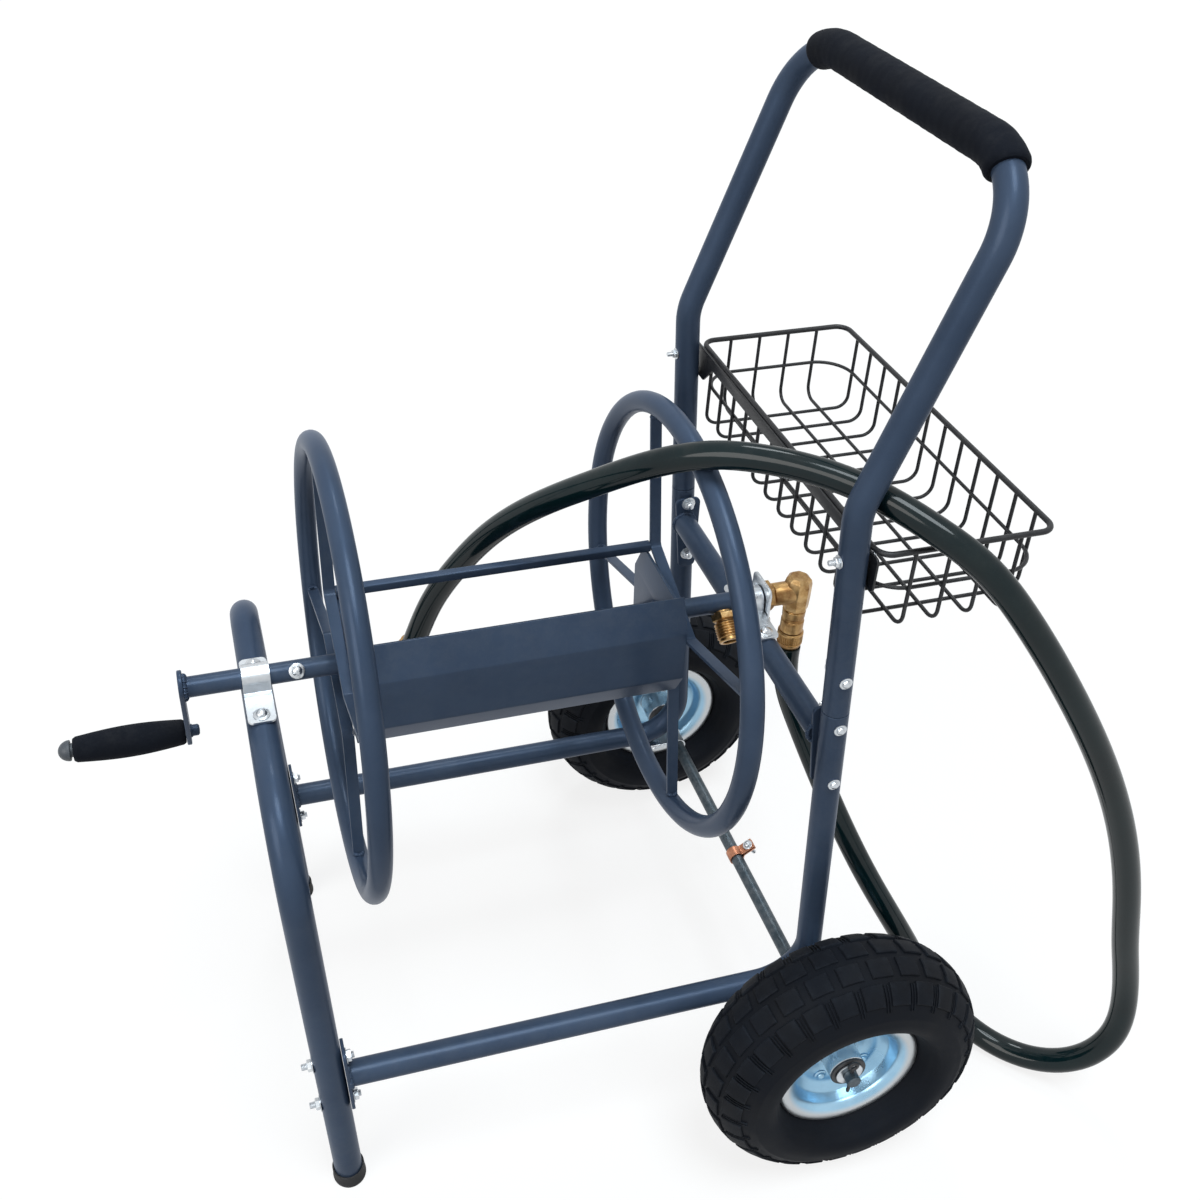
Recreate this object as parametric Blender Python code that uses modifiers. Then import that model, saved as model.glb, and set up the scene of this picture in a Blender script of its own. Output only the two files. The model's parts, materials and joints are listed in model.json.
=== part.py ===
"""Garden hose reel cart: tubular steel frame on two pneumatic wheels, a reel of two
bent-tube rings on a water-carrying shaft, a hand crank, a wire basket behind
the legs, and a short leader hose draped over the reel.

Metres, +Z up. X runs along the reel shaft from the crank (-X) to the water inlet (+X),
Y across the cart (near side -Y), and the origin is on the ground under mid-reel.
"""
import math

import bmesh
import bpy
import numpy as np
from mathutils import Matrix, Vector

# Clearances
GAP = 0.0003
RUN_GAP = 0.0005

# Reel
REEL_Z = 0.460
RING_RADIUS = 0.187
RING_TUBE_RADIUS = 0.0095
RING_SPACING = 0.2892
SHAFT_RADIUS = 0.00875
SHAFT_BORE_RADIUS = 0.0060
SHAFT_FRONT_X = -0.2715
BAR_WIDTH = 0.010
BAR_THICKNESS = 0.003
BAR_FRONT_ANGLE = math.radians(163.5)
BAR_REAR_ANGLE = math.radians(71.0)
BAR_CORNER_A = (-0.059, 0.015)
BAR_CORNER_B = (0.034, 0.049)
BAR_BEND_RADIUS = 0.008
STAY_SIZE = 0.008
CORE_SECTION = ((-0.050, 0.055), (-0.066, 0.019), (-0.066, -0.0225), (-0.050, -0.0457),
                (0.044, -0.0457), (0.064, -0.020))
CORE_SHEET = 0.0015
CORE_BEND_RADIUS = 0.005
HUB_PLATE_THICKNESS = 0.0025
HUB_PLATE_TOP = 0.036
HUB_PLATE_SHOULDER = ((0.030, 0.0), (0.012, 0.0155))
OUTLET_X = 0.1975
OUTLET_ANGLE = math.radians(215.0)
OUTLET_LENGTH = 0.027
OUTLET_RADIUS = 0.0105

# Crank
ARM_LENGTH = 0.082
ARM_ANGLE = math.radians(-67.5)
ARM_WIDTH = 0.024
ARM_TOP_REACH = 0.006
ARM_THICKNESS = 0.004
SPINDLE_RADIUS = 0.004
SPINDLE_TAIL = 0.007
CRANK_GRIP_RADIUS = 0.01375
CRANK_GRIP_END_RADIUS = 0.0107
CRANK_GRIP_LENGTH = 0.093
KNOB_RADIUS = 0.009
KNOB_LENGTH = 0.0105
KNOB_NECK_RADIUS = 0.006
KNOB_NECK_LENGTH = 0.002

# Frame tubes
FRAME_HALF_WIDTH = 0.167
FRAME_TUBE_RADIUS = 0.0111
LEG_X_AT_REEL = 0.2266
LEG_LEAN = -0.0673
FRAME_BEND_RADIUS = 0.045
SEAM_Z = 0.475
KINK_Z = 0.668
HANDLE_Z = 0.912
HANDLE_LEAN = math.radians(19.0)
HANDLE_BEND_RADIUS = 0.060
HANDLE_GRIP_RADIUS = 0.016
HANDLE_GRIP_END = 0.4
HOOP_TUBE_RADIUS = 0.0127
HOOP_TOP_X = -0.2136
HOOP_LEAN = math.radians(3.8)
HOOP_BEND_RADIUS = 0.081
FOOT_HEIGHT = 0.014
FOOT_WALL = 0.0015
FOOT_SOLE = 0.004
FOOT_FLARE = 0.0005
RAIL_PLATE_SIZE = (0.024, 0.076)
RAIL_PLATE_THICKNESS = 0.003
RAIL_PLATE_EDGE = 0.0007

# Crossbar, saddles and inlet plate
CROSSBAR_X = 0.2245
TAB_TOP_Z = 0.468
TAB_BOTTOM_Z = 0.385
TAB_TOP_WIDTH = 0.026
TAB_BOTTOM_WIDTH = 0.017
TAB_THICKNESS = 0.003
PLATE_CORNER_RADIUS = 0.006
SADDLE_THICKNESS = 0.002
FRONT_SADDLE_WIDTH = 0.023
REAR_SADDLE_WIDTH = 0.021
SADDLE_NEAR_TAB = 0.038
SADDLE_FAR_TAB = 0.022
SADDLE_FOOT = 0.001
INLET_PLATE_THICKNESS = 0.0025
INLET_PLATE_WIDTH = 0.036
INLET_PLATE_HEIGHT = 0.068

# Axle and wheels
AXLE_X = 0.248
AXLE_RADIUS = 0.00635
TYRE_RADIUS = 0.127
TYRE_HALF_WIDTH = 0.0455
TYRE_WIDEST_RADIUS = 0.080
TYRE_WALL = 0.007
TREAD_HEIGHT = 0.0022
TREAD_ROOT = 0.0020
TREAD_BLOCKS = 28
TREAD_BLOCK_SHARE = 0.74
TREAD_ROWS = ((-53.0, -29.0, 0.13), (-24.0, -3.0, 0.63), (3.0, 24.0, 0.13), (29.0, 53.0, 0.63))
WHEEL_OUTBOARD = 0.072
WHEEL_Y = FRAME_HALF_WIDTH + WHEEL_OUTBOARD
RAIL_OVER_AXLE = 0.0187
RAIL_Z = TYRE_RADIUS + RAIL_OVER_AXLE
RIM_FLANGE_RADIUS = 0.0655
RIM_HALF_WIDTH = 0.024
RIM_SHEET = 0.002
RIM_SEAT_RADIUS = 0.050
RIM_WEB_RADIUS = 0.038
RIM_BEAD_Y = 0.0095
RIM_SEAT_TAPER = 0.001
RIM_FLANGE_CURVE = 0.006
RIM_LIP = 0.007
HUB_RADIUS = 0.0165
HUB_WALL = 0.0022
HUB_INNER_LENGTH = 0.030
HUB_OUTER_LENGTH = 0.020
BUSH_FLANGE = 0.002
BUSH_LENGTH = 0.014
WASHER_THICKNESS = 0.0015
WASHER_RADIUS = 0.0125
PIN_RADIUS = 0.0016
PIN_LENGTH = 0.032
PIN_STANDOFF = 0.0045
PIN_LOOP_RADIUS = 0.0038
PIN_SIDES = 6
AXLE_TAIL = 0.007
CLIP_THICKNESS = 0.0018
CLIP_WIDTH = 0.018
CLIP_TAB_LENGTH = 0.050
CLIP_LOWER_SHARE = 0.75
CLIP_THROAT = 0.004
SPACER_WALL = 0.0025
P_CLIP_Y = -0.006
P_CLIP_WIDTH = 0.011
P_CLIP_EAR = 0.015
P_CLIP_SHEET = 0.0012
P_CLIP_OPENING = 0.0016
P_CLIP_TILT = math.radians(-35)

# Basket
BASKET_DEPTH = 0.146
BASKET_OVERHANG = 0.008
BASKET_HALF_LENGTH = FRAME_HALF_WIDTH + BASKET_OVERHANG
BASKET_TOP_Z = 0.629
BASKET_FLOOR_Z = 0.555
BASKET_MID_Z = 0.594
BASKET_RIM_RADIUS = 0.0024
BASKET_WIRE_RADIUS = 0.0016
BASKET_CROSS_WIRES = 12
BASKET_LONG_WIRES = 4
BASKET_BEND_RADIUS = 0.012
BASKET_MID_BEND_RADIUS = 0.030
MOUNT_BAR_THICKNESS = 0.002
MOUNT_BAR_HEIGHT = 0.011
MOUNT_TAB_HEIGHT = 0.030
MOUNT_TAB_WIDTH = 0.024
MOUNT_TAB_TAPER = 0.018

# Brass inlet and hose
INLET_X = 0.2725
INLET_TOP = 0.025
INLET_BOTTOM = -0.044
INLET_BODY_RADIUS = 0.0150
INLET_BODY_BOTTOM = -0.018
INLET_WAIST_BOTTOM = -0.028
INLET_CHAMFER = 0.002
INLET_NECK_RADIUS = 0.0105
INLET_COLLAR_RADIUS = 0.0140
INLET_COLLAR_LENGTH = 0.007
NUT_RADIUS = 0.0150
NUT_LENGTH = 0.018
NUT_CHAMFER = 0.001
HOSE_RADIUS = 0.0113
HOSE_POINT_SPACING = 0.042
HOSE_LEAD = 0.012
END_COUPLING_LENGTH = 0.046
END_COUPLING_RADIUS = 0.0150
HOSE_ROUTE = (
    (0.2745, -0.0020, 0.3580), (0.2868, -0.0111, 0.3150), (0.3030, -0.0345, 0.2683),
    (0.3187, -0.0684, 0.2235), (0.3394, -0.1047, 0.1759), (0.3757, -0.1352, 0.1085),
    (0.4138, -0.1549, 0.0411), (0.4442, -0.1876, 0.0143), (0.4710, -0.2190, 0.0132),
    (0.4937, -0.2418, 0.0265), (0.5127, -0.2571, 0.0510), (0.5263, -0.2638, 0.0874),
    (0.5259, -0.2596, 0.1423), (0.5057, -0.2573, 0.2142), (0.4855, -0.2578, 0.2847),
    (0.4581, -0.2559, 0.3649), (0.4182, -0.2508, 0.4497), (0.3722, -0.2418, 0.5278),
    (0.3298, -0.2262, 0.5922), (0.2960, -0.2040, 0.6330), (0.2680, -0.1760, 0.6510),
    (0.2420, -0.1470, 0.6620), (0.2120, -0.1180, 0.6680), (0.1790, -0.0920, 0.6690),
    (0.1450, -0.0660, 0.6630), (0.1100, -0.0380, 0.6440), (0.0740, -0.0060, 0.6120),
    (0.0410, 0.0300, 0.5740), (0.0080, 0.0690, 0.5240), (-0.0190, 0.0990, 0.4680),
    (-0.0400, 0.1170, 0.4170), (-0.0540, 0.1270, 0.3690),
)

# Facets round a turn
MAIN_SIDES = 12
SMALL_SIDES = 12
RING_SIDES = 8
WIRE_SIDES = 4
TURNED_SEGMENTS = 16
RING_SEGMENTS = 36
WHEEL_SEGMENTS = 28
RIM_SEGMENTS = 24
BEND_STEP = math.radians(22.5)
WIRE_BEND_STEP = math.radians(45.0)


def clear_scene():
    for item in list(bpy.data.objects):
        bpy.data.objects.remove(item, do_unlink=True)


clear_scene()
cart = bpy.data.collections.new("hose_reel_cart")
cutters = bpy.data.collections.new("cutters")
bpy.context.scene.collection.children.link(cart)
bpy.context.scene.collection.children.link(cutters)


def make_material(name, colour, roughness, metallic=0.0):
    material = bpy.data.materials.new(name)
    material.use_nodes = True
    shader = material.node_tree.nodes["Principled BSDF"]
    shader.inputs["Base Color"].default_value = (*colour, 1.0)
    shader.inputs["Roughness"].default_value = roughness
    shader.inputs["Metallic"].default_value = metallic
    material.diffuse_color = (*colour, 1.0)
    return material


PAINT = make_material("powder_coat_slate", (0.062, 0.080, 0.105), 0.38, 0.3)
FOAM = make_material("foam_black", (0.018, 0.019, 0.021), 0.92)
RUBBER = make_material("rubber_black", (0.022, 0.023, 0.024), 0.80)
ZINC = make_material("bright_zinc", (0.62, 0.64, 0.66), 0.32, 1.0)
BRASS = make_material("cast_brass", (0.60, 0.42, 0.20), 0.36, 1.0)
WIRE = make_material("black_wire_coat", (0.020, 0.022, 0.025), 0.45, 0.2)
PLASTIC = make_material("black_plastic", (0.025, 0.025, 0.027), 0.50)
CAP_GREY = make_material("grey_cap_plastic", (0.20, 0.21, 0.22), 0.45)
HOSE = make_material("hose_green_rubber", (0.015, 0.070, 0.052), 0.50)
COPPER = make_material("copper_clip", (0.55, 0.28, 0.17), 0.35, 1.0)

# Turns that lay a flat outline or a turned shape in the cart's own directions
FACE_X = (math.pi / 2, 0.0, math.pi / 2)
FACE_Y = (math.pi / 2, 0.0, 0.0)
AXIS_X = (0.0, math.pi / 2, 0.0)
AXIS_MINUS_X = (0.0, -math.pi / 2, 0.0)
AXIS_MINUS_Y = (math.pi / 2, 0.0, 0.0)
AXIS_PLUS_Y = (-math.pi / 2, 0.0, 0.0)
UPRIGHT = (0.0, 0.0, 0.0)


def add_object(name, data, material, location=(0, 0, 0), turn=UPRIGHT, parent=None):
    item = bpy.data.objects.new(name, data)
    item.location = location
    item.rotation_euler = turn
    item.parent = parent
    if material and not data.materials:
        data.materials.append(material)
    cart.objects.link(item)
    return item


def add_axis(name, location, parent=None):
    axis = bpy.data.objects.new(name, None)
    axis.empty_display_size = 0.05
    axis.location = location
    axis.parent = parent
    cart.objects.link(axis)
    return axis


# Outlines and paths

def bend_path(corners, radius, closed=False, bend_step=BEND_STEP):
    """Straight runs joined by arcs of one bend radius."""
    corners = [Vector(corner) for corner in corners]
    if closed:
        triples = list(zip(corners[-1:] + corners[:-1], corners, corners[1:] + corners[:1]))
        points = []
    else:
        triples = list(zip(corners, corners[1:], corners[2:]))
        points = [corners[0]]
    for before, corner, after in triples:
        inward = (before - corner).normalized()
        outward = (after - corner).normalized()
        turn = math.pi - inward.angle(outward)
        reach = radius * math.tan(turn / 2)
        bisector = (inward + outward).normalized()
        centre = corner + bisector * (radius / math.cos(turn / 2))
        start = corner + inward * reach - centre
        end = corner + outward * reach - centre
        steps = max(2, round(turn / bend_step))
        for step in range(steps + 1):
            angle = turn * step / steps
            share_start = math.sin(turn - angle) / math.sin(turn)
            share_end = math.sin(angle) / math.sin(turn)
            points.append(centre + start * share_start + end * share_end)
    if not closed:
        points.append(corners[-1])
    return points


def offset_path(path, distance):
    """The path moved to its left by a distance, with mitred corners."""
    path = [Vector((point[0], point[1])) for point in path]
    moved = []
    for index, point in enumerate(path):
        ahead = path[min(index + 1, len(path) - 1)] - path[min(index, len(path) - 2)]
        behind = path[max(index, 1)] - path[max(index - 1, 0)]
        left_ahead = Vector((-ahead.y, ahead.x)).normalized()
        left_behind = Vector((-behind.y, behind.x)).normalized()
        middle = (left_ahead + left_behind).normalized()
        moved.append(point + middle * (distance / middle.dot(left_ahead)))
    return moved


def strip_outline(path, thickness):
    """Edge-on outline of a bent strip whose middle follows the path."""
    return offset_path(path, thickness / 2) + offset_path(path, -thickness / 2)[::-1]


def circle_outline(centre, radius, sides=SMALL_SIDES):
    angles = [2 * math.pi * side / sides for side in range(sides)]
    return [(centre[0] + radius * math.cos(a), centre[1] + radius * math.sin(a)) for a in angles]


def arc_points(centre, radius, start, end, steps):
    angles = [start + (end - start) * step / steps for step in range(steps + 1)]
    return [(centre[0] + radius * math.cos(a), centre[1] + radius * math.sin(a)) for a in angles]


def slot_outline(start, end, half_width, steps=8):
    """Stadium outline round two centres."""
    start, end = Vector(start), Vector(end)
    heading = math.atan2(end.y - start.y, end.x - start.x)
    outline = arc_points(end, half_width, heading - math.pi / 2, heading + math.pi / 2, steps)
    outline += arc_points(start, half_width, heading + math.pi / 2, heading + 3 * math.pi / 2, steps)
    return outline


# Solids

def plate_curve(name, outlines, thickness):
    """Flat plate from an outline and the outlines of its holes."""
    curve = bpy.data.curves.new(name, "CURVE")
    curve.dimensions = "2D"
    curve.fill_mode = "BOTH"
    curve.extrude = thickness / 2
    for outline in outlines:
        spline = curve.splines.new("POLY")
        spline.points.add(len(outline) - 1)
        for point, place in zip(spline.points, outline):
            point.co = (place[0], place[1], 0.0, 1.0)
        spline.use_cyclic_u = True
    return curve


def tube_curve(name, path, radius, sides=MAIN_SIDES, closed=False):
    """Round tube or wire along a path."""
    curve = bpy.data.curves.new(name, "CURVE")
    curve.dimensions = "3D"
    curve.bevel_depth = radius
    curve.bevel_resolution = sides // 2 - 2
    curve.use_fill_caps = not closed
    spline = curve.splines.new("POLY")
    spline.points.add(len(path) - 1)
    for point, place in zip(spline.points, path):
        point.co = (place[0], place[1], place[2], 1.0)
        point.radius = 1.0
    spline.use_cyclic_u = closed
    spline.use_smooth = True
    return curve


def solid_mesh(curve, name=None):
    """A curve's closed surface as a mesh, with its loose caps welded on."""
    holder = bpy.data.objects.new("holder", curve)
    bpy.context.scene.collection.objects.link(holder)
    graph = bpy.context.evaluated_depsgraph_get()
    mesh = bpy.data.meshes.new_from_object(holder.evaluated_get(graph), depsgraph=graph)
    bpy.data.objects.remove(holder, do_unlink=True)
    mesh.name = name or curve.name
    shape = bmesh.new()
    shape.from_mesh(mesh)
    bmesh.ops.remove_doubles(shape, verts=shape.verts, dist=0.00001)
    bmesh.ops.recalc_face_normals(shape, faces=shape.faces)
    shape.to_mesh(mesh)
    shape.free()
    mesh.materials.clear()
    return mesh


def tube_mesh(name, path, radius, sides=MAIN_SIDES, closed=False):
    mesh = solid_mesh(tube_curve(name, path, radius, sides, closed))
    mesh.shade_smooth()
    mesh.set_sharp_from_angle(angle=math.radians(40))
    return mesh


def plate_mesh(name, outlines, thickness):
    return solid_mesh(plate_curve(name, outlines, thickness))


def turned_mesh(name, profile, closed=False):
    mesh = bpy.data.meshes.new(name)
    edges = [(i, i + 1) for i in range(len(profile) - 1)]
    if closed:
        edges.append((len(profile) - 1, 0))
    mesh.from_pydata([(radius, 0.0, height) for radius, height in profile], edges, [])
    return mesh


def add_turned(name, profile, material, closed=False, segments=TURNED_SEGMENTS, **place):
    """Solid turned about its own Z from a profile that runs down its outer side."""
    item = add_object(name, turned_mesh(name, profile, closed), material, **place)
    screw = item.modifiers.new("turn", "SCREW")
    screw.steps = segments
    screw.render_steps = segments
    screw.use_merge_vertices = True
    screw.merge_threshold = 0.00001
    screw.use_smooth_shade = True
    return item


def ring_profile(outer, inner, top, bottom, chamfer=0.0):
    """Square-edged ring section, with small chamfers on its outer edges."""
    if not chamfer:
        return [(outer, top), (outer, bottom), (inner, bottom), (inner, top)]
    return [(outer - chamfer, top), (outer, top - chamfer), (outer, bottom + chamfer),
            (outer - chamfer, bottom), (inner, bottom), (inner, top)]


def make_cutter(item):
    for collection in list(item.users_collection):
        collection.objects.unlink(item)
    cutters.objects.link(item)
    item.hide_render = True
    item.hide_viewport = False
    item.display_type = "WIRE"
    return item


def cut(item, cutter, operation="DIFFERENCE"):
    """Boolean on a piece, with the tool kept among the cutters."""
    make_cutter(cutter)
    step = item.modifiers.new(operation.lower(), "BOOLEAN")
    step.operation = operation
    step.solver = "EXACT"
    step.object = cutter
    return item


def box_mesh(name, size):
    mesh = bpy.data.meshes.new(name)
    shape = bmesh.new()
    bmesh.ops.create_cube(shape, size=1.0)
    bmesh.ops.scale(shape, vec=size, verts=shape.verts)
    shape.to_mesh(mesh)
    shape.free()
    return mesh


def leg_x(height):
    return LEG_X_AT_REEL + LEG_LEAN * (height - REEL_Z)


# Reel: everything that turns with the shaft

ring_x = RING_SPACING / 2
reel_axis = add_axis("reel_axis", (0.0, 0.0, REEL_Z))
crossbar_z = REEL_Z - SHAFT_RADIUS - FRAME_TUBE_RADIUS - RUN_GAP
plate_front_x = CROSSBAR_X + FRAME_TUBE_RADIUS + GAP
shaft_rear_x = plate_front_x + INLET_PLATE_THICKNESS + RUN_GAP
bar_inner_x = ring_x - BAR_WIDTH / 2 - GAP


def add_shaft():
    length = shaft_rear_x - SHAFT_FRONT_X
    profile = ring_profile(SHAFT_RADIUS, SHAFT_BORE_RADIUS, length / 2, -length / 2)
    add_turned("reel_shaft", profile, PAINT, closed=True, segments=MAIN_SIDES,
               location=((shaft_rear_x + SHAFT_FRONT_X) / 2, 0, 0), turn=AXIS_X, parent=reel_axis)


def add_rings():
    for name, x in (("reel_ring_front", -ring_x), ("reel_ring_rear", ring_x)):
        bpy.ops.mesh.primitive_torus_add(major_segments=RING_SEGMENTS, minor_segments=RING_SIDES,
                                         major_radius=RING_RADIUS, minor_radius=RING_TUBE_RADIUS)
        ring = bpy.context.object
        mesh = ring.data
        bpy.data.objects.remove(ring, do_unlink=True)
        mesh.name = name
        mesh.shade_smooth()
        add_object(name, mesh, PAINT, location=(x, 0, 0), turn=AXIS_X, parent=reel_axis)


def add_flange_bars():
    """Each flange has two like bars, one turned half round from the other."""
    reach = RING_RADIUS - RING_TUBE_RADIUS - GAP - BAR_THICKNESS * 0.25
    ends = [(reach * math.cos(a), reach * math.sin(a)) for a in (BAR_FRONT_ANGLE, BAR_REAR_ANGLE)]
    corners = [(*ends[0], 0), (*BAR_CORNER_A, 0), (*BAR_CORNER_B, 0), (*ends[1], 0)]
    path = bend_path(corners, BAR_BEND_RADIUS)
    mesh = plate_mesh("flange_bar", [strip_outline(path, BAR_THICKNESS)], BAR_WIDTH)
    for flange, x in (("front", -ring_x), ("rear", ring_x)):
        for which, half_turn in (("upper", 0.0), ("lower", math.pi)):
            turn = (Matrix.Rotation(half_turn, 3, "X") @ Matrix.Rotation(math.pi / 2, 3, "Z")
                    @ Matrix.Rotation(math.pi / 2, 3, "X")).to_euler()
            add_object(f"flange_bar_{flange}_{which}", mesh, PAINT, location=(x, 0, 0), turn=turn,
                       parent=reel_axis)


def add_core():
    """Open channel that the hose winds on, folded from one sheet."""
    path = bend_path([(*corner, 0) for corner in CORE_SECTION], CORE_BEND_RADIUS)
    mesh = plate_mesh("reel_core", [strip_outline(path, CORE_SHEET)], 2 * bar_inner_x)
    add_object("reel_core", mesh, PAINT, turn=FACE_X, parent=reel_axis)


def add_hub_plates():
    """Plate inside each end of the core, welded to the shaft."""
    inset = CORE_SHEET / 2 + GAP
    inner = offset_path(bend_path([(*corner, 0) for corner in CORE_SECTION], CORE_BEND_RADIUS), inset)
    top_left, below_left = inner[0], inner[1]
    share = (HUB_PLATE_TOP - below_left.y) / (top_left.y - below_left.y)
    inner[0] = below_left + (top_left - below_left) * share
    shaft_hole = circle_outline((0, 0), SHAFT_RADIUS + GAP, MAIN_SIDES)
    outline = [tuple(point) for point in inner] + list(HUB_PLATE_SHOULDER)
    mesh = plate_mesh("hub_plate", [outline, shaft_hole], HUB_PLATE_THICKNESS)
    for name, side in (("hub_plate_front", -1), ("hub_plate_rear", 1)):
        x = side * (bar_inner_x - HUB_PLATE_THICKNESS / 2)
        add_object(name, mesh, PAINT, location=(x, 0, 0), turn=FACE_X, parent=reel_axis)


def add_stay():
    mesh = box_mesh("reel_stay", (2 * bar_inner_x, STAY_SIZE, STAY_SIZE))
    stay = add_object("reel_stay", mesh, PAINT, location=(0, *BAR_CORNER_B), parent=reel_axis)
    bevel = stay.modifiers.new("edges", "BEVEL")
    bevel.width = 0.0008
    bevel.segments = 1


def add_outlet():
    """Brass union on the shaft that the wound hose screws to."""
    base = SHAFT_RADIUS + GAP
    tip = base + OUTLET_LENGTH
    shoulder = base + OUTLET_LENGTH * 0.35
    neck = OUTLET_RADIUS * 0.72
    profile = [(0.0, tip), (OUTLET_RADIUS - 0.001, tip), (OUTLET_RADIUS, tip - 0.001),
               (OUTLET_RADIUS, shoulder), (neck, shoulder - 0.001), (neck, base), (0.0, base)]
    turn = (Matrix.Rotation(OUTLET_ANGLE - math.pi / 2, 3, "X")).to_euler()
    add_turned("outlet_fitting", profile, BRASS, segments=SMALL_SIDES, location=(OUTLET_X, 0, 0),
               turn=turn, parent=reel_axis)


# Crank

arm_inner_x = SHAFT_FRONT_X - GAP
arm_outer_x = arm_inner_x - ARM_THICKNESS
grip_centre = (ARM_LENGTH * math.cos(ARM_ANGLE), ARM_LENGTH * math.sin(ARM_ANGLE))
grip_start_x = arm_outer_x - RUN_GAP
grip_end_x = grip_start_x - CRANK_GRIP_LENGTH


def add_crank():
    top = (-ARM_TOP_REACH * math.cos(ARM_ANGLE), -ARM_TOP_REACH * math.sin(ARM_ANGLE))
    outline = slot_outline(top, grip_centre, ARM_WIDTH / 2)
    hole = circle_outline(grip_centre, SPINDLE_RADIUS + GAP)
    mesh = plate_mesh("crank_arm", [outline, hole], ARM_THICKNESS)
    add_object("crank_arm", mesh, PAINT, location=(arm_inner_x - ARM_THICKNESS / 2, 0, 0), turn=FACE_X,
               parent=reel_axis)
    length = CRANK_GRIP_LENGTH + ARM_THICKNESS + RUN_GAP + SPINDLE_TAIL
    profile = [(0.0, length), (SPINDLE_RADIUS, length), (SPINDLE_RADIUS, 0.0), (0.0, 0.0)]
    add_turned("grip_spindle", profile, ZINC, segments=SMALL_SIDES, turn=AXIS_MINUS_X,
               location=(arm_inner_x + SPINDLE_TAIL, *grip_centre), parent=reel_axis)


def add_crank_grip():
    """Barrel-shaped foam sleeve and an end knob that spin on the spindle."""
    axis = add_axis("crank_grip_axis", (grip_start_x, *grip_centre), parent=reel_axis)
    swell = CRANK_GRIP_RADIUS - CRANK_GRIP_END_RADIUS
    steps = 8
    barrel = [(CRANK_GRIP_END_RADIUS + swell * math.sin(math.pi * i / steps),
               CRANK_GRIP_LENGTH * (1 - i / steps)) for i in range(steps + 1)]
    bore = SPINDLE_RADIUS + RUN_GAP
    add_turned("crank_grip", barrel + [(bore, 0.0), (bore, CRANK_GRIP_LENGTH)], FOAM, closed=True,
               turn=AXIS_MINUS_X, parent=axis)
    base = CRANK_GRIP_LENGTH + GAP
    shoulder = base + KNOB_NECK_LENGTH
    steps = 5
    dome = [(KNOB_RADIUS * math.sin(math.pi / 2 * i / steps),
             shoulder + KNOB_LENGTH * math.cos(math.pi / 2 * i / steps)) for i in range(steps + 1)]
    neck = [(KNOB_NECK_RADIUS, shoulder), (KNOB_NECK_RADIUS, base), (0.0, base)]
    add_turned("crank_grip_cap", dome + neck, CAP_GREY, turn=AXIS_MINUS_X, parent=axis)


# Frame tubes

kink_x = leg_x(KINK_Z)
handle_x = kink_x + (HANDLE_Z - KINK_Z) * math.tan(HANDLE_LEAN)
hoop_z = REEL_Z - SHAFT_RADIUS - HOOP_TUBE_RADIUS - RUN_GAP


def hoop_x(height):
    return HOOP_TOP_X + (hoop_z - height) * math.tan(HOOP_LEAN)


def add_rail_plates():
    """Welded end plate of each rail, bolted to the back of the hoop's leg."""
    away = HOOP_TUBE_RADIUS + GAP + RAIL_PLATE_THICKNESS / 2
    for side, y in (("near", -FRAME_HALF_WIDTH), ("far", FRAME_HALF_WIDTH)):
        mesh = box_mesh("rail_plate", (RAIL_PLATE_THICKNESS, *RAIL_PLATE_SIZE))
        place = (hoop_x(RAIL_Z) + away * math.cos(HOOP_LEAN), y, RAIL_Z + away * math.sin(HOOP_LEAN))
        plate = add_object(f"rail_plate_{side}", mesh, PAINT, location=place, turn=(0, -HOOP_LEAN, 0))
        bevel = plate.modifiers.new("edges", "BEVEL")
        bevel.width = RAIL_PLATE_EDGE
        bevel.segments = 1


def add_side_frames():
    """Rail and rear leg of each side, bent from one tube."""
    corner = (leg_x(RAIL_Z), RAIL_Z)
    seam = (leg_x(SEAM_Z), SEAM_Z)
    front_x = hoop_x(RAIL_Z)
    for side, y in (("near", -FRAME_HALF_WIDTH), ("far", FRAME_HALF_WIDTH)):
        path = bend_path([(front_x, y, RAIL_Z), (corner[0], y, corner[1]), (seam[0], y, seam[1])],
                         FRAME_BEND_RADIUS)
        name = f"side_frame_{side}"
        frame = add_object(name, tube_mesh(name, path, FRAME_TUBE_RADIUS), PAINT)
        depth = 0.06
        clear = HOOP_TUBE_RADIUS + RAIL_PLATE_THICKNESS + 2 * GAP - depth / 2
        block = add_object(f"{side}_rail_end_cut", box_mesh("rail_end_cut", (depth, depth, 2 * depth)), None,
                           location=(front_x + clear * math.cos(HOOP_LEAN), y,
                                     RAIL_Z + clear * math.sin(HOOP_LEAN)), turn=(0, -HOOP_LEAN, 0))
        cut(frame, block)


def handle_path(start_z):
    """The handle's bent path, up one side, across and down the other."""
    top = []
    for y in (-FRAME_HALF_WIDTH, FRAME_HALF_WIDTH):
        kink = (kink_x, y, KINK_Z)
        corner = (handle_x, y, HANDLE_Z)
        if start_z < KINK_Z:
            side = [(leg_x(start_z), y, start_z), kink, corner]
        else:
            share = (start_z - KINK_Z) / (HANDLE_Z - KINK_Z)
            side = [Vector(kink).lerp(Vector(corner), share), corner]
        top += side if y < 0 else side[::-1]
    return bend_path(top, HANDLE_BEND_RADIUS)


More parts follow.
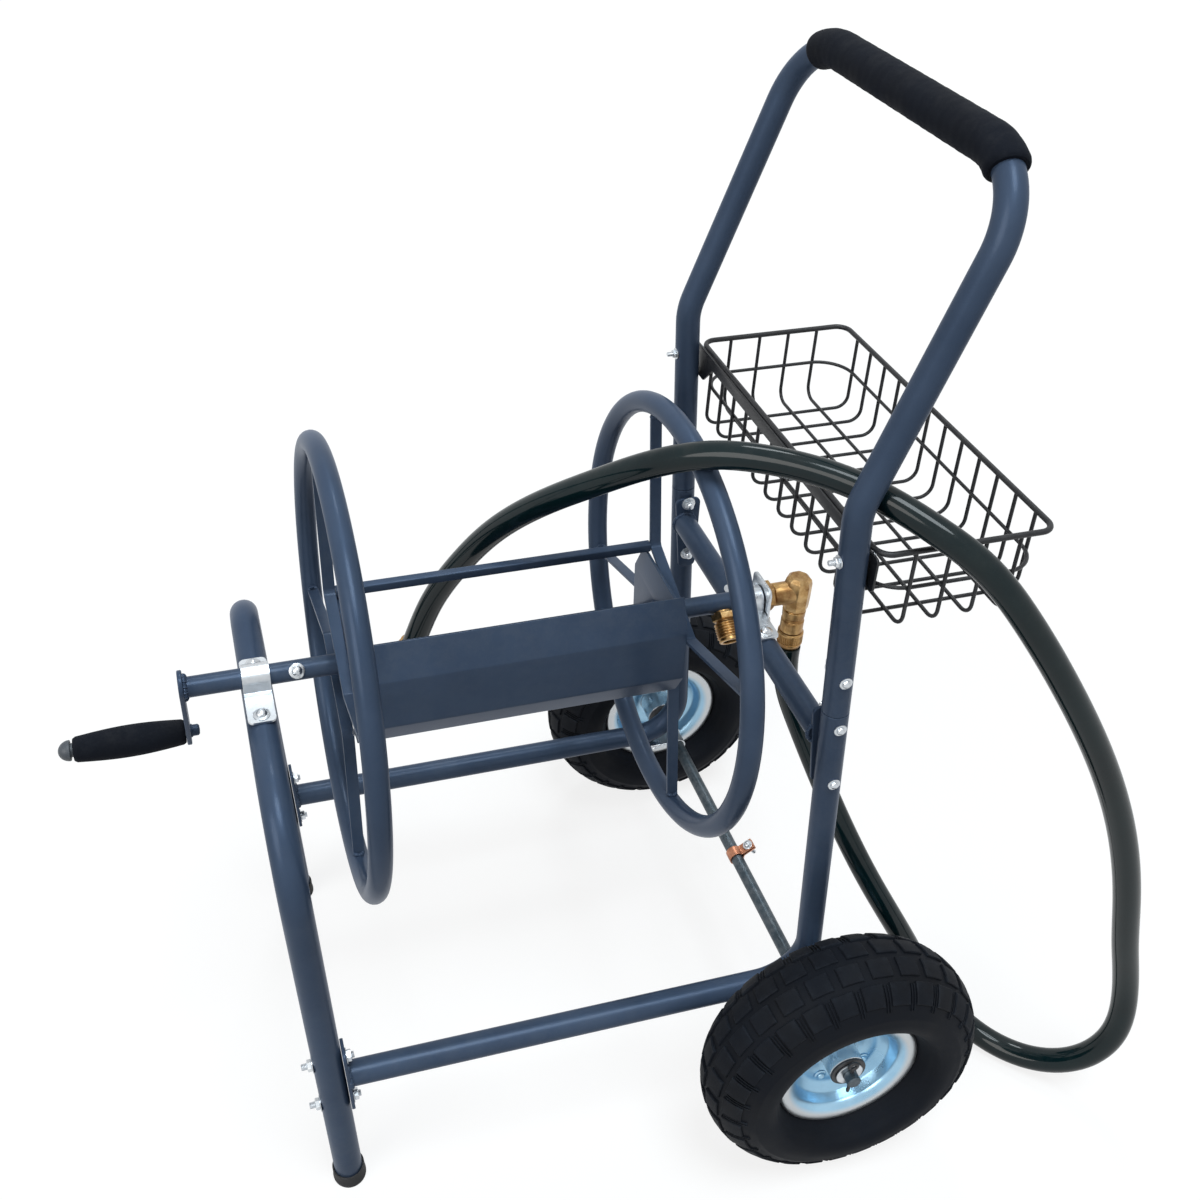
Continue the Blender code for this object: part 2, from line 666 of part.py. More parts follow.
def add_handle():
    mesh = tube_mesh("handle_tube", handle_path(SEAM_Z + GAP), FRAME_TUBE_RADIUS)
    add_object("handle_tube", mesh, PAINT)
    bends = handle_path(HANDLE_Z - 2 * HANDLE_BEND_RADIUS)[1:-1]
    bore_path = bends[2:-2]
    near_end = bore_path[1].lerp(bore_path[0], HANDLE_GRIP_END)
    far_end = bore_path[-2].lerp(bore_path[-1], HANDLE_GRIP_END)
    grip_path = [near_end] + bore_path[1:-1] + [far_end]
    grip = add_object("handle_grip", tube_mesh("handle_grip", grip_path, HANDLE_GRIP_RADIUS), FOAM)
    bore = add_object("handle_grip_bore", tube_mesh("grip_bore", bore_path, FRAME_TUBE_RADIUS + GAP), None)
    cut(grip, bore)


def add_front_hoop():
    foot_z = FOOT_SOLE + GAP
    path = []
    for y in (-FRAME_HALF_WIDTH, FRAME_HALF_WIDTH):
        leg = [(hoop_x(foot_z), y, foot_z), (HOOP_TOP_X, y, hoop_z)]
        path += leg if y < 0 else leg[::-1]
    mesh = tube_mesh("front_hoop", bend_path(path, HOOP_BEND_RADIUS), HOOP_TUBE_RADIUS)
    add_object("front_hoop", mesh, PAINT)


def add_feet():
    """Rubber cup pushed onto each leg, with a level sole."""
    outer = HOOP_TUBE_RADIUS + GAP + FOOT_WALL
    inner = HOOP_TUBE_RADIUS + GAP
    dip = FOOT_SOLE / 2
    profile = [(0.0, FOOT_SOLE - GAP), (inner, FOOT_SOLE - GAP), (inner, FOOT_HEIGHT),
               (outer, FOOT_HEIGHT), (outer + FOOT_FLARE, -dip), (0.0, -dip)]
    for side, y in (("near", -FRAME_HALF_WIDTH), ("far", FRAME_HALF_WIDTH)):
        foot = add_turned(f"foot_cap_{side}", profile, RUBBER,
                          location=(hoop_x(0.0), y, 0.0), turn=(0, -HOOP_LEAN, 0))
        depth = 2 * FOOT_SOLE
        reach = 4 * outer
        ground = add_object(f"{side}_sole_cut", box_mesh("sole_cut", (reach, reach, depth)), None,
                            location=(hoop_x(0.0), y, -depth / 2))
        cut(foot, ground)


def add_crossbar():
    """Rear tube between the legs, with a welded tab at each end against the leg."""
    tab_y = FRAME_HALF_WIDTH - FRAME_TUBE_RADIUS - GAP - TAB_THICKNESS / 2
    path = [(CROSSBAR_X, -tab_y, crossbar_z), (CROSSBAR_X, tab_y, crossbar_z)]
    bar = add_object("rear_crossbar", tube_mesh("rear_crossbar", path, FRAME_TUBE_RADIUS), PAINT)
    top_x, bottom_x = leg_x(TAB_TOP_Z), leg_x(TAB_BOTTOM_Z)
    corners = [(top_x - TAB_TOP_WIDTH / 2, TAB_TOP_Z), (bottom_x - TAB_BOTTOM_WIDTH / 2, TAB_BOTTOM_Z),
               (bottom_x + TAB_BOTTOM_WIDTH / 2, TAB_BOTTOM_Z), (top_x + TAB_TOP_WIDTH / 2, TAB_TOP_Z)]
    outline = [(p.x, p.y) for p in bend_path([(*c, 0) for c in corners], PLATE_CORNER_RADIUS, True)]
    for side, y in (("near", -tab_y), ("far", tab_y)):
        mesh = plate_mesh("crossbar_tab", [outline], TAB_THICKNESS)
        tab = add_object(f"{side}_crossbar_tab", mesh, PAINT, location=(0, y, 0), turn=FACE_Y)
        cut(bar, tab, "UNION")


# Saddles and the inlet plate

def add_saddle(name, bar_x, bar_top, width):
    """Omega strap that holds the shaft down on a tube."""
    radius = SHAFT_RADIUS + RUN_GAP + SADDLE_THICKNESS / 2
    rest = bar_top + GAP + SADDLE_THICKNESS / 2 - REEL_Z
    arch = arc_points((0, 0), radius, math.pi, 0.0, 10)
    path = [(-radius - SADDLE_NEAR_TAB, rest), (-radius - SADDLE_FOOT, rest)] + arch
    path += [(radius + SADDLE_FOOT, rest), (radius + SADDLE_FAR_TAB, rest)]
    mesh = plate_mesh(name, [strip_outline(path, SADDLE_THICKNESS)], width)
    add_object(name, mesh, ZINC, location=(bar_x, 0, REEL_Z), turn=FACE_X)


def add_inlet_plate():
    """Zinc plate behind the crossbar that the brass inlet is held to."""
    half_width = INLET_PLATE_WIDTH / 2
    top = INLET_PLATE_WIDTH / 2
    corners = [(-half_width, top - INLET_PLATE_HEIGHT), (half_width, top - INLET_PLATE_HEIGHT),
               (half_width, top), (-half_width, top)]
    outline = [(p.x, p.y) for p in bend_path([(*c, 0) for c in corners], PLATE_CORNER_RADIUS, True)]
    hole = circle_outline((0, 0), SHAFT_RADIUS + RUN_GAP, MAIN_SIDES)
    mesh = plate_mesh("inlet_plate", [outline, hole], INLET_PLATE_THICKNESS)
    add_object("inlet_plate", mesh, ZINC, turn=FACE_X,
               location=(plate_front_x + INLET_PLATE_THICKNESS / 2, 0, REEL_Z))


# Axle and wheels

hub_outer_end = HUB_OUTER_LENGTH + GAP + BUSH_FLANGE
hub_inner_end = HUB_INNER_LENGTH + GAP + BUSH_FLANGE
washer_start = hub_outer_end + RUN_GAP
pin_at = washer_start + WASHER_THICKNESS + GAP + PIN_RADIUS + 0.0006
axle_end_y = WHEEL_Y + pin_at + AXLE_TAIL
SIDES = (("near", -1, AXIS_MINUS_Y), ("far", 1, AXIS_PLUS_Y))


def add_axle():
    length = 2 * axle_end_y
    chamfer = 0.001
    profile = [(0.0, length / 2), (AXLE_RADIUS - chamfer, length / 2), (AXLE_RADIUS, length / 2 - chamfer),
               (AXLE_RADIUS, -length / 2 + chamfer), (AXLE_RADIUS - chamfer, -length / 2), (0.0, -length / 2)]
    axle = add_turned("axle", profile, ZINC, segments=MAIN_SIDES, location=(AXLE_X, 0, TYRE_RADIUS),
                      turn=AXIS_PLUS_Y)
    for side, sign, _ in SIDES:
        y = sign * (WHEEL_Y + pin_at)
        deep = 2 * AXLE_RADIUS
        hole_profile = [(0.0, deep), (PIN_RADIUS + GAP, deep), (PIN_RADIUS + GAP, -deep), (0.0, -deep)]
        drill = add_turned(f"{side}_pin_hole", hole_profile, None, segments=8,
                           location=(AXLE_X, y, TYRE_RADIUS))
        cut(axle, drill)


def add_pins():
    """Split pin through each end of the axle: a loop head and a straight shank."""
    for side, sign, _ in SIDES:
        y = sign * (WHEEL_Y + pin_at)
        top = AXLE_RADIUS + PIN_STANDOFF
        middle = (0, top + PIN_LOOP_RADIUS)
        loop = arc_points(middle, PIN_LOOP_RADIUS, -math.pi / 2, 1.15 * math.pi, 10)
        path = [(0, 0, top - PIN_LENGTH)] + [(px, 0, pz) for px, pz in loop]
        mesh = tube_mesh("wheel_pin", path, PIN_RADIUS, PIN_SIDES)
        add_object(f"wheel_pin_{side}", mesh, PLASTIC, location=(AXLE_X, y, TYRE_RADIUS))


def add_axle_hardware():
    clip_edge = FRAME_HALF_WIDTH + CLIP_WIDTH / 2
    spacer_end = WHEEL_Y - hub_inner_end - RUN_GAP
    spacer_start = clip_edge + GAP
    bore = AXLE_RADIUS + GAP
    for side, sign, turn in SIDES:
        spacer = ring_profile(bore + SPACER_WALL, bore, spacer_end, spacer_start)
        add_turned(f"axle_spacer_{side}", spacer, ZINC, closed=True, segments=MAIN_SIDES,
                   location=(AXLE_X, 0, TYRE_RADIUS), turn=turn)
        washer = ring_profile(WASHER_RADIUS, bore, WHEEL_Y + washer_start + WASHER_THICKNESS,
                              WHEEL_Y + washer_start)
        add_turned(f"wheel_washer_{side}", washer, ZINC, closed=True, segments=MAIN_SIDES,
                   location=(AXLE_X, 0, TYRE_RADIUS), turn=turn)
        add_axle_clip(side, sign)


def add_axle_clip(side, sign):
    """Strip that is bolted under the rail and loops round the axle."""
    loop_radius = AXLE_RADIUS + GAP + CLIP_THICKNESS / 2
    upper = RAIL_Z - FRAME_TUBE_RADIUS - GAP - CLIP_THICKNESS / 2 - TYRE_RADIUS
    lower = upper - CLIP_THICKNESS - GAP
    start = math.asin(upper / loop_radius)
    loop = arc_points((0, 0), loop_radius, math.pi - start, -math.pi + 0.55, 14)
    throat = -loop_radius - CLIP_THROAT
    path = [(-CLIP_TAB_LENGTH, upper), (throat, upper)] + loop[1:]
    path += [(throat, lower), (-CLIP_TAB_LENGTH * CLIP_LOWER_SHARE, lower)]
    mesh = plate_mesh("axle_clip", [strip_outline(path, CLIP_THICKNESS)], CLIP_WIDTH)
    add_object(f"axle_clip_{side}", mesh, ZINC, location=(AXLE_X, sign * FRAME_HALF_WIDTH, TYRE_RADIUS),
               turn=FACE_Y)


def add_p_clip():
    """Copper band clip round the middle of the axle."""
    radius = AXLE_RADIUS + GAP + P_CLIP_SHEET / 2
    loop = arc_points((0, 0), radius, math.radians(20), math.radians(340), 14)
    near, far = radius + P_CLIP_SHEET, radius + P_CLIP_EAR
    path = [(far, P_CLIP_OPENING), (near, P_CLIP_OPENING)] + loop
    path += [(near, -P_CLIP_OPENING), (far, -P_CLIP_OPENING)]
    mesh = plate_mesh("axle_band_clip", [strip_outline(path, P_CLIP_SHEET)], P_CLIP_WIDTH)
    add_object("axle_band_clip", mesh, COPPER, location=(AXLE_X, P_CLIP_Y, TYRE_RADIUS),
               turn=(math.pi / 2, P_CLIP_TILT, 0))


def tyre_section(angle, offset=0.0):
    """Place on the tyre's round section, by its angle from the crown in degrees."""
    angle = math.radians(angle)
    rise = TYRE_RADIUS - TREAD_HEIGHT - TYRE_WIDEST_RADIUS + offset
    return (TYRE_WIDEST_RADIUS + rise * math.cos(angle), (TYRE_HALF_WIDTH + offset) * math.sin(angle))


def tyre_profile():
    """Shell section: round crown and sidewalls, and beads that sit in the rim."""
    bead_y = RIM_HALF_WIDTH - RIM_SHEET - 1.5 * GAP
    toe_y = RIM_BEAD_Y + RIM_SEAT_TAPER
    half = [(RIM_SEAT_RADIUS + 2 * GAP, toe_y),
            (RIM_SEAT_RADIUS + RIM_SEAT_TAPER + 2 * GAP, RIM_HALF_WIDTH - RIM_FLANGE_CURVE - GAP),
            (RIM_FLANGE_RADIUS - RIM_LIP + GAP, bead_y), (RIM_FLANGE_RADIUS + 3 * GAP, bead_y)]
    half += [tyre_section(angle) for angle in (90, 68, 46, 26, 8)]
    inside = [(RIM_SEAT_RADIUS + TYRE_WALL, toe_y)]
    inside += [tyre_section(angle, -TYRE_WALL) for angle in (80, 30)]
    outer = half + [(radius, -height) for radius, height in half[::-1]]
    inner = [(radius, -height) for radius, height in inside] + inside[::-1]
    return outer + inner


def tread_mesh():
    """The tread's staggered rows of blocks, rooted a little inside the carcass."""
    corners, faces = [], []
    pitch = 2 * math.pi / TREAD_BLOCKS
    for low, high, lag in TREAD_ROWS:
        rims = [tyre_section(a, o) for o in (-TREAD_ROOT, TREAD_HEIGHT) for a in (low, high)]
        for block in range(TREAD_BLOCKS):
            start = (block + lag) * pitch
            first = len(corners)
            for turned in (start, start + pitch * TREAD_BLOCK_SHARE):
                corners += [(r * math.cos(turned), r * math.sin(turned), h) for r, h in rims]
            for face in ((0, 1, 3, 2), (4, 6, 7, 5), (0, 4, 5, 1), (2, 3, 7, 6), (0, 2, 6, 4), (1, 5, 7, 3)):
                faces.append([first + corner for corner in face])
    mesh = bpy.data.meshes.new("tread_blocks")
    mesh.from_pydata(corners, [], faces)
    shape = bmesh.new()
    shape.from_mesh(mesh)
    bmesh.ops.recalc_face_normals(shape, faces=shape.faces)
    shape.to_mesh(mesh)
    shape.free()
    return mesh


def rim_profile():
    """Stamped rim half: web, dished wall, bead seat and rolled flange."""
    sheet = RIM_SHEET
    back_y = RIM_HALF_WIDTH - sheet + GAP
    outside = [(HUB_RADIUS + GAP, sheet + GAP), (RIM_WEB_RADIUS, sheet + GAP),
               (RIM_SEAT_RADIUS - sheet - RIM_SEAT_TAPER, RIM_BEAD_Y),
               (RIM_SEAT_RADIUS - RIM_SEAT_TAPER, RIM_HALF_WIDTH - RIM_FLANGE_CURVE + sheet),
               (RIM_FLANGE_RADIUS - RIM_LIP + RIM_SEAT_TAPER, RIM_HALF_WIDTH),
               (RIM_FLANGE_RADIUS, RIM_HALF_WIDTH)]
    inside = [(RIM_FLANGE_RADIUS, back_y), (RIM_FLANGE_RADIUS - RIM_LIP, back_y),
              (RIM_SEAT_RADIUS + RIM_SEAT_TAPER, RIM_HALF_WIDTH - RIM_FLANGE_CURVE),
              (RIM_SEAT_RADIUS, RIM_BEAD_Y), (RIM_WEB_RADIUS + sheet, GAP / 2),
              (HUB_RADIUS + GAP, GAP / 2)]
    return outside + inside


def add_wheel(side, sign, turn):
    axis = add_axis(f"wheel_axis_{side}", (AXLE_X, sign * WHEEL_Y, TYRE_RADIUS))
    inward = AXIS_PLUS_Y if turn == AXIS_MINUS_Y else AXIS_MINUS_Y
    tyre = add_turned(f"tyre_{side}", tyre_profile(), RUBBER, closed=True, segments=WHEEL_SEGMENTS,
                      turn=turn, parent=axis)
    cut(tyre, add_object(f"{side}_tread_blocks", tread_mesh(), RUBBER, turn=turn, parent=axis), "UNION")
    for half, half_turn in (("outer", turn), ("inner", inward)):
        add_turned(f"rim_{half}_{side}", rim_profile(), ZINC, closed=True, segments=RIM_SEGMENTS,
                   turn=half_turn, parent=axis)
    hub = ring_profile(HUB_RADIUS, HUB_RADIUS - HUB_WALL, HUB_OUTER_LENGTH, -HUB_INNER_LENGTH)
    add_turned(f"hub_{side}", hub, ZINC, closed=True, turn=turn, parent=axis)
    outer = HUB_RADIUS - HUB_WALL - GAP
    bore = AXLE_RADIUS + RUN_GAP
    for half, half_turn, end in (("outer", turn, HUB_OUTER_LENGTH), ("inner", inward, HUB_INNER_LENGTH)):
        top = end + GAP + BUSH_FLANGE
        profile = [(HUB_RADIUS, top), (HUB_RADIUS, end + GAP), (outer, end + GAP), (outer, end - BUSH_LENGTH),
                   (bore, end - BUSH_LENGTH), (bore, top)]
        add_turned(f"hub_bush_{half}_{side}", profile, PLASTIC, closed=True, segments=MAIN_SIDES,
                   turn=half_turn, parent=axis)


# Basket

mount_bar_x = leg_x(BASKET_TOP_Z - MOUNT_TAB_HEIGHT) + FRAME_TUBE_RADIUS + GAP
basket_front = mount_bar_x + MOUNT_BAR_THICKNESS + GAP + BASKET_RIM_RADIUS
basket_rear = basket_front + BASKET_DEPTH


def basket_loop(height, bend, inset=0.0):
    corners = [(basket_front + inset, -BASKET_HALF_LENGTH + inset, height),
               (basket_rear - inset, -BASKET_HALF_LENGTH + inset, height),
               (basket_rear - inset, BASKET_HALF_LENGTH - inset, height),
               (basket_front + inset, BASKET_HALF_LENGTH - inset, height)]
    return bend_path(corners, bend, True, WIRE_BEND_STEP)


def add_basket():
    """Welded wire basket: rim, a lower hoop, and wires bent to a U both ways."""
    top = basket_loop(BASKET_TOP_Z, BASKET_BEND_RADIUS)
    rim = tube_mesh("basket", top, BASKET_RIM_RADIUS, RING_SIDES, True)
    basket = add_object("basket", rim, WIRE)
    weld = 2 * BASKET_WIRE_RADIUS * 0.6
    hoop = basket_loop(BASKET_MID_Z, BASKET_MID_BEND_RADIUS, weld)
    wires = bpy.data.collections.new("basket_wires")
    bpy.context.scene.collection.children.link(wires)
    pieces = [tube_mesh("basket_hoop", hoop, BASKET_WIRE_RADIUS, WIRE_SIDES, True)]
    spacing = 2 * BASKET_HALF_LENGTH / (BASKET_CROSS_WIRES + 1)
    for number in range(1, BASKET_CROSS_WIRES + 1):
        y = -BASKET_HALF_LENGTH + number * spacing
        corners = [(basket_front, y, BASKET_TOP_Z), (basket_front, y, BASKET_FLOOR_Z),
                   (basket_rear, y, BASKET_FLOOR_Z), (basket_rear, y, BASKET_TOP_Z)]
        path = bend_path(corners, BASKET_BEND_RADIUS, False, WIRE_BEND_STEP)
        pieces.append(tube_mesh("cross_wire", path, BASKET_WIRE_RADIUS, WIRE_SIDES))
    spacing = BASKET_DEPTH / (BASKET_LONG_WIRES + 1)
    for number in range(1, BASKET_LONG_WIRES + 1):
        x = basket_front + number * spacing
        floor = BASKET_FLOOR_Z + weld
        corners = [(x, -BASKET_HALF_LENGTH, BASKET_TOP_Z), (x, -BASKET_HALF_LENGTH, floor),
                   (x, BASKET_HALF_LENGTH, floor), (x, BASKET_HALF_LENGTH, BASKET_TOP_Z)]
        path = bend_path(corners, BASKET_BEND_RADIUS, False, WIRE_BEND_STEP)
        pieces.append(tube_mesh("long_wire", path, BASKET_WIRE_RADIUS, WIRE_SIDES))
    for number, mesh in enumerate(pieces):
        wire = add_object(f"basket_wire_{number}", mesh, WIRE)
        make_cutter(wire)
        cutters.objects.unlink(wire)
        wires.objects.link(wire)
    weld_step = basket.modifiers.new("weld", "BOOLEAN")
    weld_step.operation = "UNION"
    weld_step.solver = "EXACT"
    weld_step.operand_type = "COLLECTION"
    weld_step.collection = wires


def add_mount_bar():
    """Flat bar behind the legs that carries the basket, wider where it is bolted."""
    end = FRAME_HALF_WIDTH + MOUNT_TAB_WIDTH / 2
    neck = FRAME_HALF_WIDTH - MOUNT_TAB_WIDTH / 2
    top = BASKET_TOP_Z
    bar = top - MOUNT_BAR_HEIGHT
    tab = top - MOUNT_TAB_HEIGHT
    outline = [(-end, top), (-end, tab), (-neck, tab), (-neck + MOUNT_TAB_TAPER, bar),
               (neck - MOUNT_TAB_TAPER, bar),
               (neck, tab), (end, tab), (end, top)]
    mesh = plate_mesh("basket_mount_bar", [outline], MOUNT_BAR_THICKNESS)
    add_object("basket_mount_bar", mesh, WIRE, turn=FACE_X,
               location=(mount_bar_x + MOUNT_BAR_THICKNESS / 2, 0, 0))


# Brass inlet, hose and its couplings

def add_inlet():
    """Swivel elbow: a neck into the shaft's end and a body that turns down."""
    body, edge = INLET_BODY_RADIUS, INLET_CHAMFER
    profile = [(0.0, INLET_TOP), (body - edge, INLET_TOP), (body, INLET_TOP - edge),
               (body, INLET_BODY_BOTTOM + edge), (body - edge, INLET_BODY_BOTTOM),
               (body - edge, INLET_WAIST_BOTTOM), (INLET_NECK_RADIUS, INLET_WAIST_BOTTOM - edge / 2),
               (INLET_NECK_RADIUS, INLET_BOTTOM), (0.0, INLET_BOTTOM)]
    elbow = add_turned("inlet_elbow", profile, BRASS, segments=MAIN_SIDES, location=(INLET_X, 0, REEL_Z))
    neck_start = shaft_rear_x + GAP
    reach = INLET_X - neck_start
    neck = [(0.0, reach), (INLET_NECK_RADIUS, reach), (INLET_NECK_RADIUS, 0.0), (0.0, 0.0)]
    neck_piece = add_turned("inlet_neck", neck, BRASS, segments=SMALL_SIDES,
                            location=(neck_start, 0, REEL_Z), turn=AXIS_X)
    cut(elbow, neck_piece, "UNION")
    collar = [(0.0, INLET_COLLAR_LENGTH), (INLET_COLLAR_RADIUS, INLET_COLLAR_LENGTH),
              (INLET_COLLAR_RADIUS, GAP), (0.0, GAP)]
    collar_piece = add_turned("inlet_collar", collar, BRASS, segments=6,
                              location=(neck_start, 0, REEL_Z), turn=AXIS_X)
    cut(elbow, collar_piece, "UNION")


def add_hose_nut():
    """Knurled nut that clamps the leader hose to the elbow."""
    start = REEL_Z + INLET_BOTTOM - GAP
    edge = NUT_CHAMFER
    profile = [(0.0, 0.0), (NUT_RADIUS - edge, 0.0), (NUT_RADIUS, -edge), (NUT_RADIUS, -NUT_LENGTH * 0.7),
               (NUT_RADIUS - 2 * edge, -NUT_LENGTH), (0.0, -NUT_LENGTH)]
    add_turned("hose_inlet_nut", profile, BRASS, segments=SMALL_SIDES, location=(INLET_X, 0, start))


def smooth_route(points, spacing):
    """Even steps along a cubic curve through the route's points."""
    knots = np.array(points, dtype=float)
    lengths = np.linalg.norm(np.diff(knots, axis=0), axis=1)
    places = np.concatenate(([0.0], np.cumsum(lengths)))
    count = len(knots)
    system = np.eye(count)
    right = np.zeros((count, 3))
    for i in range(1, count - 1):
        before, after = lengths[i - 1], lengths[i]
        system[i, i - 1:i + 2] = (before, 2 * (before + after), after)
        right[i] = 6 * ((knots[i + 1] - knots[i]) / after - (knots[i] - knots[i - 1]) / before)
    bends = np.linalg.solve(system, right)
    steps = round(places[-1] / spacing)
    route = []
    for place in np.linspace(0.0, places[-1], steps + 1):
        i = min(int(np.searchsorted(places, place, side="right")) - 1, count - 2)
        run = lengths[i]
        back, ahead = (places[i + 1] - place) / run, (place - places[i]) / run
        point = back * knots[i] + ahead * knots[i + 1]
        point += ((back ** 3 - back) * bends[i] + (ahead ** 3 - ahead) * bends[i + 1]) * run ** 2 / 6
        route.append(tuple(point))
    return route


def add_hose():
    nut_end = REEL_Z + INLET_BOTTOM - GAP - NUT_LENGTH - GAP
    exit_point = (INLET_X, 0.0, nut_end)
    lead_end = (INLET_X, 0.0, nut_end - HOSE_LEAD)
    route = [exit_point] + smooth_route([lead_end] + list(HOSE_ROUTE), HOSE_POINT_SPACING)
    mesh = tube_mesh("leader_hose", route, HOSE_RADIUS, RING_SIDES)
    add_object("leader_hose", mesh, HOSE)
    tip, before = Vector(route[-1]), Vector(route[-2])
    heading = (tip - before).normalized()
    turn = heading.to_track_quat("Z", "Y").to_euler()
    radius = END_COUPLING_RADIUS
    length = END_COUPLING_LENGTH
    profile = [(0.0, length), (radius, length), (radius, length * 0.62), (radius * 0.8, length * 0.6),
               (radius * 0.8, length * 0.5), (radius * 0.95, length * 0.48), (radius * 0.95, 0.001),
               (radius * 0.88, 0.0), (0.0, 0.0)]
    add_turned("hose_end_coupling", profile, BRASS, segments=SMALL_SIDES, location=tip + heading * GAP,
               turn=turn)


add_shaft()
add_rings()
add_flange_bars()
add_core()
add_hub_plates()
add_stay()
add_outlet()
add_crank()
add_crank_grip()
add_side_frames()
add_rail_plates()
add_handle()
add_front_hoop()
add_feet()
add_crossbar()
add_saddle("front_saddle", HOOP_TOP_X, hoop_z + HOOP_TUBE_RADIUS, FRONT_SADDLE_WIDTH)
add_saddle("rear_saddle", CROSSBAR_X, crossbar_z + FRAME_TUBE_RADIUS, REAR_SADDLE_WIDTH)
add_inlet_plate()
add_axle()
add_axle_hardware()
add_pins()
add_p_clip()
for wheel_side, wheel_sign, wheel_turn in SIDES:
    add_wheel(wheel_side, wheel_sign, wheel_turn)
add_basket()
add_mount_bar()
add_inlet()
add_hose_nut()
add_hose()
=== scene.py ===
"""Garden hose reel cart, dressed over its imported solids.

Metres, +Z up. X runs along the reel shaft from the crank (-X) to the water inlet (+X),
Y across the cart with the near side at -Y, and the origin is on the ground under mid-reel.
"""
import json
import math

import bmesh
import bpy
import numpy as np
from mathutils import Matrix, Vector

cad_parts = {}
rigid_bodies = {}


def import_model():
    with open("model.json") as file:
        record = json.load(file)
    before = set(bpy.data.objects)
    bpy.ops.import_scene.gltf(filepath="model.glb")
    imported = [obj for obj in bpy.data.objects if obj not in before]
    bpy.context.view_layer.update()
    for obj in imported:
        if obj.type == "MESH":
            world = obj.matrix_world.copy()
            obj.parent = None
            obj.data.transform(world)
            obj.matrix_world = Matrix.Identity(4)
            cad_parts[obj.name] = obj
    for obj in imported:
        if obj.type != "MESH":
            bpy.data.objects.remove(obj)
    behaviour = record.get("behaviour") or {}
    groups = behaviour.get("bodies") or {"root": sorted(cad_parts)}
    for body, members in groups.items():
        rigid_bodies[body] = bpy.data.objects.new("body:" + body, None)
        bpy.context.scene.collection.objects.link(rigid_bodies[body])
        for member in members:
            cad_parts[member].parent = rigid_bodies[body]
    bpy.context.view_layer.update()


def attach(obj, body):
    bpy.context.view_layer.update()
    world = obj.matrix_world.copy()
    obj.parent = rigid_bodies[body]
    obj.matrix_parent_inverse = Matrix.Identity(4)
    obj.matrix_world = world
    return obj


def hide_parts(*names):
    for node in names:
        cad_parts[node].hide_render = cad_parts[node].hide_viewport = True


for leftover in list(bpy.data.objects):
    bpy.data.objects.remove(leftover, do_unlink=True)
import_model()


# Front hoop. One round steel tube bent to an upside-down U: both front legs and the cross
# tube that carries the front of the reel shaft. It is powder coated slate blue-grey, and
# the film is slightly pebbled and mottled, and rubbed through on sharp edges.

GAP = 0.0003
RUN_GAP = 0.0005
REEL_Z = 0.460
SHAFT_RADIUS = 0.00875
FRAME_HALF_WIDTH = 0.167
HOOP_TUBE_RADIUS = 0.0127
HOOP_TOP_X = -0.2136
HOOP_LEAN = math.radians(3.8)
HOOP_BEND_RADIUS = 0.081
FOOT_SOLE = 0.004
SLATE = (0.042, 0.066, 0.114)
SLATE_PALE = (0.064, 0.096, 0.158)
RUBBED_COAT = (0.110, 0.135, 0.175)
YARD_DUST = (0.230, 0.220, 0.200)
hoop_z = REEL_Z - SHAFT_RADIUS - HOOP_TUBE_RADIUS - RUN_GAP


def feed(tree, socket, value):
    if isinstance(value, bpy.types.NodeSocket):
        tree.links.new(value, socket)
    elif isinstance(value, tuple) and socket.type == "RGBA":
        socket.default_value = (*value, 1.0)
    else:
        socket.default_value = value


def put(tree, kind, inputs=(), **settings):
    """One shader node with its settings, and what each socket holds or is fed by."""
    made = tree.nodes.new(kind)
    for setting, value in settings.items():
        setattr(made, setting, value)
    for label, value in dict(inputs).items():
        feed(tree, made.inputs[label], value)
    return made


def mixed(tree, share, first, second):
    """Colour between two by a mask."""
    mix = put(tree, "ShaderNodeMix", data_type="RGBA")
    feed(tree, mix.inputs[0], share)
    feed(tree, mix.inputs[6], first)
    feed(tree, mix.inputs[7], second)
    return mix.outputs[2]


def ranged(tree, value, low, high, start=0.0, end=1.0):
    """Number that goes from low to high while value goes from start to end."""
    made = put(tree, "ShaderNodeMapRange", {"Value": value, "From Min": start, "From Max": end,
                                           "To Min": low, "To Max": high})
    return made.outputs["Result"]


def times(tree, first, second):
    made = put(tree, "ShaderNodeMath", operation="MULTIPLY")
    feed(tree, made.inputs[0], first)
    feed(tree, made.inputs[1], second)
    return made.outputs[0]


def new_group(name, given, made):
    """Shader node group with number sockets."""
    group = bpy.data.node_groups.new(name, "ShaderNodeTree")
    for label, value in given.items():
        group.interface.new_socket(label, in_out="INPUT", socket_type="NodeSocketFloat").default_value = value
    for label in made:
        group.interface.new_socket(label, in_out="OUTPUT", socket_type="NodeSocketFloat")
    start = group.nodes.new("NodeGroupInput")
    end = group.nodes.new("NodeGroupOutput")
    return group, start.outputs, end.inputs


def new_finish(name, **constants):
    """Material with the values that are the same all over it."""
    material = bpy.data.materials.new(name)
    material.use_nodes = True
    shader = material.node_tree.nodes["Principled BSDF"]
    for label, value in constants.items():
        feed(material.node_tree, shader.inputs[label.replace("_", " ")], value)
    return material, material.node_tree, shader.inputs


